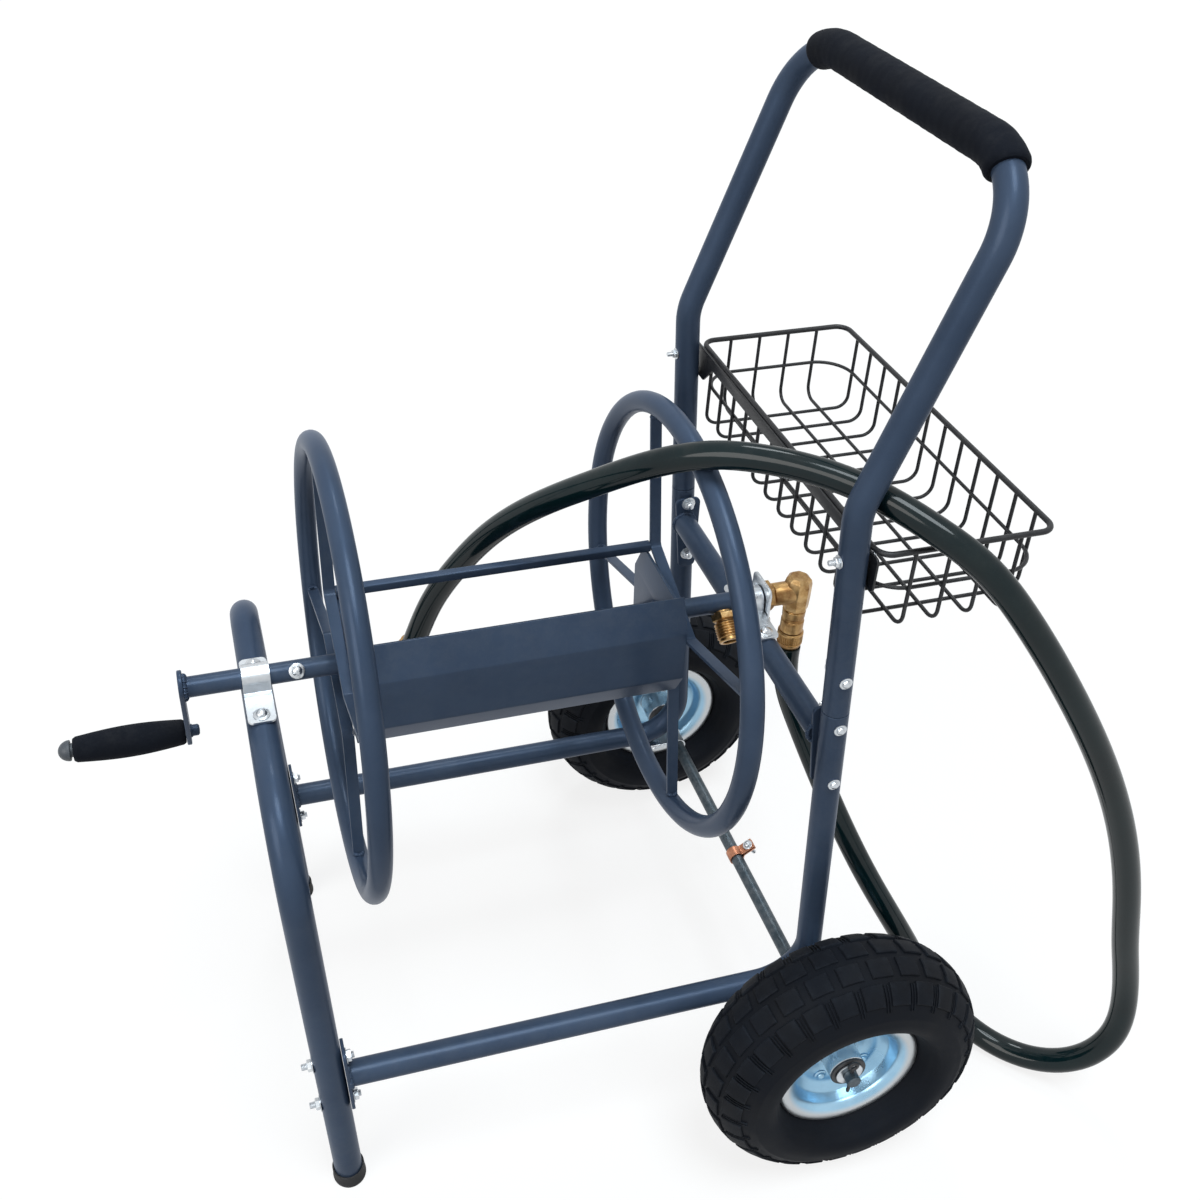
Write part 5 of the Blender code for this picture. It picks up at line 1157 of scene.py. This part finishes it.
band_path = [band_centre + ear_out * x + ear_up * z for x, z in band_line]
band = strap("band", band_path, (0, 1, 0), P_CLIP_WIDTH, BAND_THICKNESS)

copper, tree, sockets = new_finish("copper_plated_band", Metallic=1.0)
skin = use_group(tree, grain_group, Grain=900.0, Mottle=110.0)
rubbed = use_group(tree, wear_group, Amount=0.7, Grain=160.0)["Mask"]
tarnished = mixed(tree, skin["Tone"], (0.230, 0.085, 0.045), (0.560, 0.250, 0.150))
feed(tree, sockets["Base Color"], mixed(tree, rubbed, tarnished, (0.76, 0.46, 0.33)))
feed(tree, sockets["Roughness"], ranged(tree, skin["Tone"], 0.46, 0.30))
feed(tree, sockets["Normal"], relief(tree, skin["Height"], 0.2, 0.0002))
soften(fit("band_clip", band, "frame", copper, "copper", "axle_band_clip"), 0.0003)
ear_hole = band_centre + ear_out * (band_radius + P_CLIP_EAR - P_CLIP_HOLE)
ear_face = ear_up * (P_CLIP_OPENING + BAND_THICKNESS / 2 - 0.0001)
fit("band_screw", [domed_bolt(ear_hole + ear_face, ear_up, BAND_SCREW_SIZE),
                   nut_and_tail(ear_hole - ear_face, -ear_up, BAND_SCREW_SIZE, 0.007)], "frame", zinc, "zinc")


# Wheels. Pneumatic tyres with four staggered rows of tread blocks and plain sidewalls, on
# rims of two stamped blue-zinc halves bolted together round a plated hub with bushes.

TYRE_HALF_WIDTH = 0.0455
TYRE_WIDEST_RADIUS = 0.080
TYRE_WALL = 0.007
TREAD_HEIGHT = 0.0022
TREAD_ROOT = 0.0020
TREAD_BLOCKS = 28
TREAD_BLOCK_SHARE = 0.74
TREAD_ROWS = ((-53.0, -29.0, 0.13), (-24.0, -3.0, 0.63), (3.0, 24.0, 0.13), (29.0, 53.0, 0.63))
RIB_SPAN = (31.0, 60.0)
RIB_PLACES = (0.80, 0.91)
RIB_SHARE = 0.04
SIDEWALL = ((0.0672, 0.0244), (0.0688, 0.0284), (0.0706, 0.0318), (0.0712, 0.0333), (0.0722, 0.0348),
            (0.0730, 0.0356), (0.0742, 0.0374), (0.0758, 0.0400), (0.0780, 0.0424), (0.0820, 0.0441),
            (0.0860, 0.0446), (0.0900, 0.0443), (0.0938, 0.0433))
RIM_FLANGE_RADIUS = 0.0655
RIM_HALF_WIDTH = 0.024
RIM_SHEET = 0.002
RIM_SEAT_RADIUS = 0.050
RIM_WEB_RADIUS = 0.038
RIM_BEAD_Y = 0.0095
RIM_SEAT_TAPER = 0.001
RIM_FLANGE_CURVE = 0.006
RIM_LIP = 0.007
RIM_LIP_START = 0.0035
RIM_BOLT_RADIUS = 0.0290
RIM_BOLTS = 4
RIM_BOLT_SIZE = 0.0040
bead_y = RIM_HALF_WIDTH - RIM_SHEET - 1.5 * GAP
toe_y = RIM_BEAD_Y + 0.001


def tyre_section(angle, offset=0.0):
    """(radius, across) on the tyre's section, by its angle from the crown in degrees."""
    angle = math.radians(angle)
    rise = TYRE_RADIUS - TREAD_HEIGHT - TYRE_WIDEST_RADIUS + offset
    return TYRE_WIDEST_RADIUS + rise * math.cos(angle), (TYRE_HALF_WIDTH + offset) * math.sin(angle)


wall = [(RIM_SEAT_RADIUS + 2 * GAP, toe_y),
        (RIM_SEAT_RADIUS + RIM_SEAT_TAPER + 2 * GAP, RIM_HALF_WIDTH - RIM_FLANGE_CURVE - GAP),
        (RIM_FLANGE_RADIUS - RIM_LIP + GAP, bead_y), (RIM_FLANGE_RADIUS + 3 * GAP, bead_y), *SIDEWALL]
wall += [tyre_section(69.5, 0.0006), tyre_section(68, 0.0006), tyre_section(66.5)]
wall += [tyre_section(angle) for angle in (61, 55, 48, 41, 34, 27, 20, 13, 6)]
lining = [(RIM_SEAT_RADIUS + TYRE_WALL, toe_y)] + [tyre_section(angle, -TYRE_WALL) for angle in (80, 55, 30)]
tyre_line = wall + [tyre_section(0)] + [(r, -y) for r, y in wall[::-1]]
tyre_line += [(r, -y) for r, y in lining] + lining[::-1]


def raised_patch(points, faces, span, turns, height):
    """Block on the tyre between two section angles and two turns, its top edges rolled over."""
    shapes = ((-TREAD_ROOT, 0.0), (height - 0.0007, 0.015), (height, 0.055))
    base = len(points)
    for offset, shrink in shapes:
        for v in (0.0, 1 / 3, 2 / 3, 1.0):
            angle = turns[0] + (turns[1] - turns[0]) * (shrink + v * (1 - 2 * shrink))
            for u in (0.0, 1 / 3, 2 / 3, 1.0):
                section = span[0] + (span[1] - span[0]) * (shrink + u * (1 - 2 * shrink))
                radius, across = tyre_section(section, offset)
                points.append((radius * math.cos(angle), radius * math.sin(angle), across))
    edge = [0, 1, 2, 3, 7, 11, 15, 14, 13, 12, 8, 4]
    for level in (0, 1):
        for a, b in zip(edge, edge[1:] + edge[:1]):
            low, high = base + level * 16, base + level * 16 + 16
            faces.append((low + a, low + b, high + b, high + a))
    for grid in (base, base + 32):
        for v in range(3):
            for u in range(3):
                corner = grid + v * 4 + u
                faces.append((corner, corner + 1, corner + 5, corner + 4))


def tread_blocks():
    """The staggered rows of blocks, and two thin ribs in each gap of the outer rows."""
    points, faces = [], []
    pitch = 2 * math.pi / TREAD_BLOCKS
    for low, high, lag in TREAD_ROWS:
        for number in range(TREAD_BLOCKS):
            start = (number + lag) * pitch
            raised_patch(points, faces, (low, high), (start, start + pitch * TREAD_BLOCK_SHARE), TREAD_HEIGHT)
            if min(abs(low), abs(high)) > 25:
                span = RIB_SPAN if low > 0 else (-RIB_SPAN[1], -RIB_SPAN[0])
                for place in RIB_PLACES:
                    rib = start + pitch * place
                    raised_patch(points, faces, span, (rib, rib + pitch * RIB_SHARE), TREAD_HEIGHT * 0.6)
    return finished_mesh("tread", points, faces, 30)


tyre_rubber, tree, sockets = new_finish("tyre_rubber", Specular_IOR_Level=0.14)
skin = use_group(tree, grain_group, Grain=1200.0, Mottle=16.0)
rubbed = use_group(tree, wear_group, Amount=0.5, Grain=90.0)["Mask"]
dusty = use_group(tree, dust_group, Amount=0.10, Grain=38.0)["Mask"]
gum = mixed(tree, rubbed, mixed(tree, skin["Tone"], (0.0018, 0.0026, 0.0046), (0.0050, 0.0070, 0.0115)),
            (0.020, 0.026, 0.036))
feed(tree, sockets["Base Color"], mixed(tree, dusty, gum, (0.04, 0.04, 0.042)))
feed(tree, sockets["Roughness"], ranged(tree, skin["Tone"], 0.60, 0.80))
feed(tree, sockets["Normal"], relief(tree, skin["Height"], 0.35, 0.0003))

blue_zinc, tree, sockets = new_finish("blue_passivated_zinc", Metallic=0.85)
skin = use_group(tree, grain_group, Grain=700.0, Mottle=22.0)
rubbed = use_group(tree, wear_group, Amount=0.5, Grain=80.0)["Mask"]
lip = put(tree, "ShaderNodeAttribute", attribute_name="rim_lip").outputs["Fac"]
pressed = mixed(tree, skin["Tone"], (0.270, 0.470, 0.640), (0.400, 0.640, 0.820))
plated = mixed(tree, lip, pressed, (0.600, 0.630, 0.650))
feed(tree, sockets["Base Color"], mixed(tree, rubbed, plated, (0.720, 0.740, 0.750)))
feed(tree, sockets["Roughness"], ranged(tree, skin["Tone"], 0.24, 0.38))
feed(tree, sockets["Normal"], relief(tree, skin["Height"], 0.2, 0.0003))

back_y = RIM_HALF_WIDTH - RIM_SHEET + GAP
rim_face = [(HUB_RADIUS + GAP, RIM_SHEET + GAP), (0.0215, RIM_SHEET + GAP), (0.0225, RIM_SHEET + 0.0014),
            (0.0350, RIM_SHEET + 0.0014), (RIM_WEB_RADIUS - 0.0008, RIM_SHEET + 0.0008),
            (RIM_WEB_RADIUS + 0.0022, RIM_SHEET + 0.0024),
            (RIM_SEAT_RADIUS - RIM_SHEET - RIM_SEAT_TAPER - 0.0016, RIM_BEAD_Y - 0.0018),
            (RIM_SEAT_RADIUS - RIM_SHEET - RIM_SEAT_TAPER, RIM_BEAD_Y),
            (RIM_SEAT_RADIUS - RIM_SEAT_TAPER - 0.0008, RIM_HALF_WIDTH - RIM_FLANGE_CURVE - 0.0005),
            (RIM_SEAT_RADIUS - RIM_SEAT_TAPER + 0.0004, RIM_HALF_WIDTH - RIM_FLANGE_CURVE + RIM_SHEET),
            (RIM_SEAT_RADIUS + 0.0030, RIM_HALF_WIDTH - 0.0014),
            (RIM_FLANGE_RADIUS - RIM_LIP - 0.0008, RIM_HALF_WIDTH - 0.0002),
            (RIM_FLANGE_RADIUS - RIM_LIP + 0.0020, RIM_HALF_WIDTH + 0.0004),
            (RIM_FLANGE_RADIUS - 0.0022, RIM_HALF_WIDTH + 0.0002),
            (RIM_FLANGE_RADIUS - 0.0004, RIM_HALF_WIDTH - 0.0006), (RIM_FLANGE_RADIUS, back_y)]
rim_back = [(RIM_FLANGE_RADIUS - RIM_LIP, back_y),
            (RIM_SEAT_RADIUS + RIM_SEAT_TAPER, RIM_HALF_WIDTH - RIM_FLANGE_CURVE),
            (RIM_SEAT_RADIUS, RIM_BEAD_Y), (RIM_WEB_RADIUS + RIM_SHEET, GAP / 2),
            (HUB_RADIUS + GAP, GAP / 2)]
for side, sign in (("near", -1), ("far", 1)):
    body = f"wheel_{side}"
    centre = (AXLE_X, sign * WHEEL_Y, TYRE_RADIUS)
    outward = (0, sign, 0)
    tyre = join_meshes("tyre", [turned("carcass", tyre_line, 112, closed=True), tread_blocks()])
    tyre.transform(Matrix.Translation(Vector(centre)) @ Matrix.Rotation(-sign * math.pi / 2, 4, "X"))
    fit(f"tyre_{side}_tread", tyre, body, tyre_rubber, "tyre", f"tyre_{side}")
    for half, heading in (("outer", sign), ("inner", -sign)):
        parts = [turned("rim", rim_face + rim_back, 96, closed=True, sharp=50)]
        for number in range(RIM_BOLTS):
            angle = 2 * math.pi * (number + 0.5) / RIM_BOLTS + 0.25 * sign * heading
            spot = (RIM_BOLT_RADIUS * math.cos(angle), RIM_BOLT_RADIUS * math.sin(angle), RIM_SHEET + 0.0013)
            if half == "outer":
                parts.append(domed_bolt(spot, (0, 0, 1), RIM_BOLT_SIZE))
            else:
                parts.append(nut_and_tail(spot, (0, 0, 1), RIM_BOLT_SIZE, 0.003))
        rim = stand(join_meshes("rim", parts), centre, (0, heading, 0))
        distances = [math.hypot(v.co.x - AXLE_X, v.co.z - TYRE_RADIUS) for v in rim.vertices]
        on_lip = [float(distance > RIM_SEAT_RADIUS + RIM_LIP_START) for distance in distances]
        rim.attributes.new("rim_lip", "FLOAT", "POINT").data.foreach_set("value", on_lip)
        fit(f"rim_{half}_{side}_half", rim, body, blue_zinc, "zinc", f"rim_{half}_{side}")
    hub_out, hub_in = HUB_RADIUS, HUB_RADIUS - HUB_WALL
    hub_line = [(hub_out - 0.0005, HUB_OUTER_LENGTH), (hub_out, HUB_OUTER_LENGTH - 0.0005),
                (hub_out, -HUB_INNER_LENGTH + 0.0005), (hub_out - 0.0005, -HUB_INNER_LENGTH),
                (hub_in, -HUB_INNER_LENGTH), (hub_in, HUB_OUTER_LENGTH)]
    fit(f"hub_{side}_tube", stand(turned("hub", hub_line, 48, closed=True), centre, outward), body, zinc,
        "zinc", f"hub_{side}")
    for half, heading, end in (("outer", sign, HUB_OUTER_LENGTH), ("inner", -sign, HUB_INNER_LENGTH)):
        top = end + GAP + BUSH_FLANGE
        plug, bore = hub_in - GAP, AXLE_RADIUS + RUN_GAP
        bush_line = [(HUB_RADIUS - 0.0006, top), (HUB_RADIUS, top - 0.0006), (HUB_RADIUS, end + GAP),
                     (plug, end + GAP), (plug, end - BUSH_LENGTH), (bore, end - BUSH_LENGTH),
                     (bore, top - 0.0005), (bore + 0.0005, top)]
        bush = stand(turned("bush", bush_line, 40, closed=True), centre, (0, heading, 0))
        fit(f"bush_{half}_{side}", bush, body, black_plastic, "black_plastic", f"hub_bush_{half}_{side}")


# Basket. Black coated wires welded into a tray: a heavier rim, a lower hoop, and lengthwise
# and cross wires bent up at their ends. A flat bar bolted behind the legs carries it.

BASKET_DEPTH = 0.146
BASKET_HALF_LENGTH = 0.175
BASKET_TOP_Z = 0.629
BASKET_FLOOR_Z = 0.555
BASKET_MID_Z = 0.594
BASKET_RIM_RADIUS = 0.0024
BASKET_WIRE_RADIUS = 0.0016
BASKET_CROSS_WIRES = 12
BASKET_LONG_WIRES = 4
BASKET_BEND_RADIUS = 0.012
BASKET_MID_BEND_RADIUS = 0.030
MOUNT_BAR_THICKNESS = 0.002
MOUNT_BAR_HEIGHT = 0.011
MOUNT_TAB_HEIGHT = 0.030
MOUNT_TAB_WIDTH = 0.024
MOUNT_TAB_TAPER = 0.018
MOUNT_CORNER = 0.0035
MOUNT_BOLT_Z = 0.6238
MOUNT_BOLT_SIZE = 0.0036
mount_bar_x = leg_x(BASKET_TOP_Z - MOUNT_TAB_HEIGHT) + FRAME_TUBE_RADIUS + GAP
basket_front = mount_bar_x + MOUNT_BAR_THICKNESS + GAP + BASKET_RIM_RADIUS
basket_rear = basket_front + BASKET_DEPTH

wire_coat, tree, sockets = new_finish("black_wire_coat", Specular_IOR_Level=0.30, Coat_Weight=0.1,
                                      Coat_Roughness=0.3)
skin = use_group(tree, grain_group, Grain=1300.0, Mottle=25.0)
rubbed = use_group(tree, wear_group, Amount=0.5, Grain=160.0)["Mask"]
dusty = use_group(tree, dust_group, Amount=0.12, Grain=50.0)["Mask"]
dipped = mixed(tree, skin["Tone"], (0.0070, 0.0078, 0.0100), (0.0140, 0.0155, 0.0190))
bared = mixed(tree, rubbed, dipped, (0.10, 0.10, 0.11))
feed(tree, sockets["Base Color"], mixed(tree, dusty, bared, YARD_DUST))
feed(tree, sockets["Roughness"], ranged(tree, skin["Tone"], 0.34, 0.50))
feed(tree, sockets["Normal"], relief(tree, skin["Height"], 0.3, 0.0002))


def tray_loop(height, bend, inset=0.0):
    return bent([(basket_front + inset, -BASKET_HALF_LENGTH + inset, height),
                 (basket_rear - inset, -BASKET_HALF_LENGTH + inset, height),
                 (basket_rear - inset, BASKET_HALF_LENGTH - inset, height),
                 (basket_front + inset, BASKET_HALF_LENGTH - inset, height)], bend, True, math.radians(9))


weld_sink = 2 * BASKET_WIRE_RADIUS * 0.6
wires = [swept("rim_wire", tray_loop(BASKET_TOP_Z, BASKET_BEND_RADIUS), BASKET_RIM_RADIUS, 14, closed=True),
         swept("hoop_wire", tray_loop(BASKET_MID_Z, BASKET_MID_BEND_RADIUS, weld_sink), BASKET_WIRE_RADIUS,
               10, closed=True)]
for number in range(1, BASKET_CROSS_WIRES + 1):
    y = -BASKET_HALF_LENGTH + number * 2 * BASKET_HALF_LENGTH / (BASKET_CROSS_WIRES + 1)
    line = bent([(basket_front, y, BASKET_TOP_Z), (basket_front, y, BASKET_FLOOR_Z),
                 (basket_rear, y, BASKET_FLOOR_Z), (basket_rear, y, BASKET_TOP_Z)], BASKET_BEND_RADIUS,
                step=math.radians(11))
    wires.append(swept("cross_wire", line, BASKET_WIRE_RADIUS, 10, lip=0.0005))
for number in range(1, BASKET_LONG_WIRES + 1):
    x = basket_front + number * BASKET_DEPTH / (BASKET_LONG_WIRES + 1)
    floor = BASKET_FLOOR_Z + weld_sink
    line = bent([(x, -BASKET_HALF_LENGTH, BASKET_TOP_Z), (x, -BASKET_HALF_LENGTH, floor),
                 (x, BASKET_HALF_LENGTH, floor), (x, BASKET_HALF_LENGTH, BASKET_TOP_Z)], BASKET_BEND_RADIUS,
                step=math.radians(11))
    wires.append(swept("long_wire", line, BASKET_WIRE_RADIUS, 10, lip=0.0005))
fit("wire_tray", wires, "frame", wire_coat, "wire_coat", "basket")

tab_end = FRAME_HALF_WIDTH + MOUNT_TAB_WIDTH / 2
tab_neck = FRAME_HALF_WIDTH - MOUNT_TAB_WIDTH / 2
bar_low, tab_low = BASKET_TOP_Z - MOUNT_BAR_HEIGHT, BASKET_TOP_Z - MOUNT_TAB_HEIGHT
mount_corners = [(-tab_end, BASKET_TOP_Z, 0), (-tab_end, tab_low, 0), (-tab_neck, tab_low, 0),
                 (-tab_neck + MOUNT_TAB_TAPER, bar_low, 0), (tab_neck - MOUNT_TAB_TAPER, bar_low, 0),
                 (tab_neck, tab_low, 0), (tab_end, tab_low, 0), (tab_end, BASKET_TOP_Z, 0)]
mount_outline = bent(mount_corners, MOUNT_CORNER, True, math.radians(15))
mount = plate("mount", [mount_outline], MOUNT_BAR_THICKNESS, 0.0004)
lay(mount, FACE_X, (mount_bar_x + MOUNT_BAR_THICKNESS / 2, 0, 0))
fit("mount_strip", mount, "frame", wire_coat, "wire_coat", "basket_mount_bar")
mount_head_x = mount_bar_x + MOUNT_BAR_THICKNESS - WASHER_BED
mount_nut_x = leg_x(MOUNT_BOLT_Z) - FRAME_TUBE_RADIUS + TUBE_BED
mount_bolts = []
for y in (-FRAME_HALF_WIDTH, FRAME_HALF_WIDTH):
    mount_bolts.append(domed_bolt((mount_head_x, y, MOUNT_BOLT_Z), (1, 0, 0), MOUNT_BOLT_SIZE))
    mount_bolts.append(nut_and_tail((mount_nut_x, y, MOUNT_BOLT_Z), (-1, 0, 0), MOUNT_BOLT_SIZE, 0.0050))
fit("mount_bolts", mount_bolts, "frame", zinc, "zinc")


# Leader hose. Nearly two metres of stiff dark green garden hose from the brass inlet,
# down behind the leg, round on the ground, up beside the cart and over the reel, where its
# free end hangs behind the core in a brass coupling.

HOSE_RADIUS = 0.0113
HOSE_LEAD = 0.012
HOSE_STEP = 0.006
HOSE_SIDES = 32
HOSE_RIDGES = 40
END_COUPLING_LENGTH = 0.046
END_COUPLING_RADIUS = 0.0150
END_NUT_LENGTH = 0.0185
SLEEVE_SETBACK = 0.009
SLEEVE_RINGS = 2
HOSE_CAD_SPACING = 0.042
HOSE_ROUTE = (
    (0.2745, -0.0020, 0.3580), (0.2868, -0.0111, 0.3150), (0.3030, -0.0345, 0.2683),
    (0.3187, -0.0684, 0.2235), (0.3394, -0.1047, 0.1759), (0.3757, -0.1352, 0.1085),
    (0.4138, -0.1549, 0.0411), (0.4442, -0.1876, 0.0143), (0.4710, -0.2190, 0.0132),
    (0.4937, -0.2418, 0.0265), (0.5127, -0.2571, 0.0510), (0.5260, -0.2638, 0.0874),
    (0.5256, -0.2596, 0.1423), (0.5057, -0.2573, 0.2142), (0.4855, -0.2578, 0.2847),
    (0.4581, -0.2559, 0.3649), (0.4182, -0.2508, 0.4497), (0.3722, -0.2418, 0.5278),
    (0.3298, -0.2262, 0.5922), (0.2960, -0.2040, 0.6330), (0.2680, -0.1760, 0.6510),
    (0.2420, -0.1470, 0.6620), (0.2120, -0.1180, 0.6680), (0.1790, -0.0920, 0.6690),
    (0.1450, -0.0660, 0.6630), (0.1100, -0.0380, 0.6440), (0.0740, -0.0060, 0.6120),
    (0.0410, 0.0300, 0.5740), (0.0080, 0.0690, 0.5240), (-0.0190, 0.0990, 0.4680),
    (-0.0400, 0.1170, 0.4170), (-0.0540, 0.1270, 0.3690),
)


def smooth_route(points, spacing):
    """Even steps along a cubic curve through the route's points."""
    knots = np.array(points, dtype=float)
    lengths = np.linalg.norm(np.diff(knots, axis=0), axis=1)
    places = np.concatenate(([0.0], np.cumsum(lengths)))
    count = len(knots)
    system = np.eye(count)
    right = np.zeros((count, 3))
    for i in range(1, count - 1):
        before, after = lengths[i - 1], lengths[i]
        system[i, i - 1:i + 2] = (before, 2 * (before + after), after)
        right[i] = 6 * ((knots[i + 1] - knots[i]) / after - (knots[i] - knots[i - 1]) / before)
    bends = np.linalg.solve(system, right)
    steps = round(places[-1] / spacing)
    route = []
    for at in np.linspace(0.0, places[-1], steps + 1):
        i = min(int(np.searchsorted(places, at, side="right")) - 1, count - 2)
        run = lengths[i]
        back, ahead = (places[i + 1] - at) / run, (at - places[i]) / run
        point = back * knots[i] + ahead * knots[i + 1]
        point += ((back ** 3 - back) * bends[i] + (ahead ** 3 - ahead) * bends[i + 1]) * run ** 2 / 6
        route.append(tuple(float(value) for value in point))
    return route


hose, tree, sockets = new_finish("dark_green_hose", Specular_IOR_Level=0.02, Coat_Weight=0.50,
                                 Coat_Roughness=0.08)
skin = use_group(tree, grain_group, Grain=500.0, Mottle=14.0)
rubbed = use_group(tree, wear_group, Amount=0.3, Grain=50.0)["Mask"]
dusty = use_group(tree, dust_group, Amount=0.08, Grain=35.0)["Mask"]
lines = put(tree, "ShaderNodeAttribute", attribute_name="hose_turn").outputs["Fac"]
round_turns = times(tree, lines, 2 * math.pi * HOSE_RIDGES)
ridges = put(tree, "ShaderNodeMath", {0: round_turns}, operation="SINE").outputs[0]
vinyl = mixed(tree, skin["Tone"], (0.0016, 0.0095, 0.0120), (0.0030, 0.0165, 0.0200))
scuffed = mixed(tree, rubbed, vinyl, (0.03, 0.06, 0.06))
feed(tree, sockets["Base Color"], mixed(tree, dusty, scuffed, YARD_DUST))
feed(tree, sockets["Roughness"], ranged(tree, skin["Tone"], 0.26, 0.36))
feed(tree, sockets["Normal"], relief(tree, ranged(tree, ridges, 0.0, 1.0, -1.0, 1.0), 0.04, 0.0002))

clamp_end = clamp_top - NUT_LENGTH - GAP
hose_exit = (INLET_X, 0.0, clamp_end)
lead_end = (INLET_X, 0.0, clamp_end - HOSE_LEAD)
cad_line = smooth_route([lead_end] + list(HOSE_ROUTE), HOSE_CAD_SPACING)
hose_tip = Vector(cad_line[-1])
tip_heading = (hose_tip - Vector(cad_line[-2])).normalized()
sleeve_start = hose_tip + tip_heading * SLEEVE_SETBACK
hose_line = [hose_exit, (INLET_X, 0.0, clamp_end - HOSE_LEAD / 2)]
hose_line += smooth_route([lead_end] + list(HOSE_ROUTE), HOSE_STEP) + [tuple(sleeve_start)]
hose_mesh = swept("leader", hose_line, HOSE_RADIUS, HOSE_SIDES, lip=0.0006)
turn_marks = hose_mesh.attributes.new("hose_turn", "FLOAT", "POINT")
turn_marks.data.foreach_set("value", [(i % HOSE_SIDES) / HOSE_SIDES for i in range(len(hose_mesh.vertices))])
leader = fit("leader_hose_tube", hose_mesh, "frame", hose, "hose", "leader_hose")

ring_out = END_COUPLING_RADIUS
coupling_line = [(0, 0), (ring_out * 0.84, 0), (ring_out * 0.88, 0.0006), (ring_out * 0.88, 0.0050)]
coupling_line.append((ring_out * 0.95, 0.0062))
for i in range(SLEEVE_RINGS):
    z = 0.0070 + i * 0.0030
    coupling_line += [(ring_out * 0.95, z), (ring_out * 0.90, z + 0.0008), (ring_out * 0.90, z + 0.0014),
                      (ring_out * 0.95, z + 0.0022)]
neck_end = END_COUPLING_LENGTH - SLEEVE_SETBACK - END_NUT_LENGTH
coupling_line += [(ring_out * 0.80, neck_end - 0.0040), (ring_out * 0.80, neck_end), (0, neck_end)]
coupling_nut = stand(knurled("coupling_nut", ring_out, END_NUT_LENGTH), (0, 0, neck_end + END_NUT_LENGTH))
coupling = stand(join_meshes("coupling", [turned("coupling_sleeve", coupling_line, 40), coupling_nut]),
                 sleeve_start + tip_heading * GAP, tip_heading)
coupling = fit("hose_end_brass", coupling, "frame", brass, "brass", "hose_end_coupling")


# Studio. A pale floor and an even surround that are white only to camera, glossy and
# transmission rays, so that they throw little light on the cart. Three broad lamps shine from
# above, from the front left and from behind. The camera stands where the photograph was taken.

FLOOR_HALF = 6.0
FLOOR_Z = -0.0005
FLOOR_GLOW = 0.82
SURROUND_FILL = 0.07
LAMPS = (("top", 1.95, 28, (0.86, 0.95, 1.0), (-0.05, 0.25, -1.0)),
         ("front", 1.25, 36, (1.0, 0.97, 0.93), (0.75, 0.45, -0.50)),
         ("back", 0.50, 14, (0.90, 0.97, 1.0), (-0.10, -0.50, -0.87)))
LENS_LENGTH = 41.33
LENS_SHIFT = (0.0747, -0.0941)
CAMERA_RIGHT = (0.9656, -0.2596, 0.0177)
CAMERA_UP = (0.1281, 0.5334, 0.8361)
CAMERA_BACK = (-0.2265, -0.8051, 0.5483)
CAMERA_PLACE = (-0.2479, -0.8851, 1.2165)


def seen_rays(tree):
    """One on camera, glossy and transmission rays, zero on the rays that light the cart."""
    rays = put(tree, "ShaderNodeLightPath").outputs
    seen = put(tree, "ShaderNodeMath", {0: rays["Is Camera Ray"], 1: rays["Is Glossy Ray"]},
               operation="MAXIMUM")
    seen = put(tree, "ShaderNodeMath", {0: seen.outputs[0], 1: rays["Is Transmission Ray"]},
               operation="MAXIMUM")
    return seen.outputs[0]


floor_corners = [(x * FLOOR_HALF, y * FLOOR_HALF, FLOOR_Z) for x, y in ((-1, -1), (1, -1), (1, 1), (-1, 1))]
floor_mesh = bpy.data.meshes.new("floor")
floor_mesh.from_pydata(floor_corners, [], [(0, 1, 2, 3)])
floor = bpy.data.objects.new("floor", floor_mesh)
bpy.context.scene.collection.objects.link(floor)
floor_paint, tree, sockets = new_finish("studio_floor", Base_Color=(0.22, 0.22, 0.22), Roughness=1.0,
                                        Specular_IOR_Level=0.0, Emission_Color=(1.0, 1.0, 1.0))
feed(tree, sockets["Emission Strength"], times(tree, seen_rays(tree), FLOOR_GLOW))
floor_mesh.materials.append(floor_paint)

surround = bpy.data.worlds.new("surround")
bpy.context.scene.world = surround
surround.use_nodes = True
tree = surround.node_tree
tree.nodes.clear()
seen = seen_rays(tree)
fill = put(tree, "ShaderNodeBackground", {"Color": (1.0, 1.0, 1.0), "Strength": SURROUND_FILL}).outputs[0]
white = put(tree, "ShaderNodeBackground", {"Color": (1.0, 1.0, 1.0), "Strength": 1.0}).outputs[0]
both = put(tree, "ShaderNodeMixShader", {0: seen, 1: fill, 2: white}).outputs[0]
put(tree, "ShaderNodeOutputWorld", {"Surface": both})

for name, strength, spread, colour, heading in LAMPS:
    lamp = bpy.data.lights.new(name, "SUN")
    lamp.color = colour
    lamp.energy = strength
    lamp.angle = math.radians(spread)
    holder = bpy.data.objects.new(name, lamp)
    holder.rotation_euler = Vector(heading).to_track_quat("-Z", "Y").to_euler()
    bpy.context.scene.collection.objects.link(holder)

lens = bpy.data.cameras.new("photo_view")
lens.sensor_width = 36.0
lens.lens = LENS_LENGTH
lens.shift_x, lens.shift_y = LENS_SHIFT
camera = bpy.data.objects.new("photo_view", lens)
axes = zip(CAMERA_RIGHT, CAMERA_UP, CAMERA_BACK, CAMERA_PLACE)
camera.matrix_world = Matrix((*axes, (0.0, 0.0, 0.0, 1.0)))
bpy.context.scene.collection.objects.link(camera)
bpy.context.scene.camera = camera
bpy.context.scene.view_settings.view_transform = "Standard"
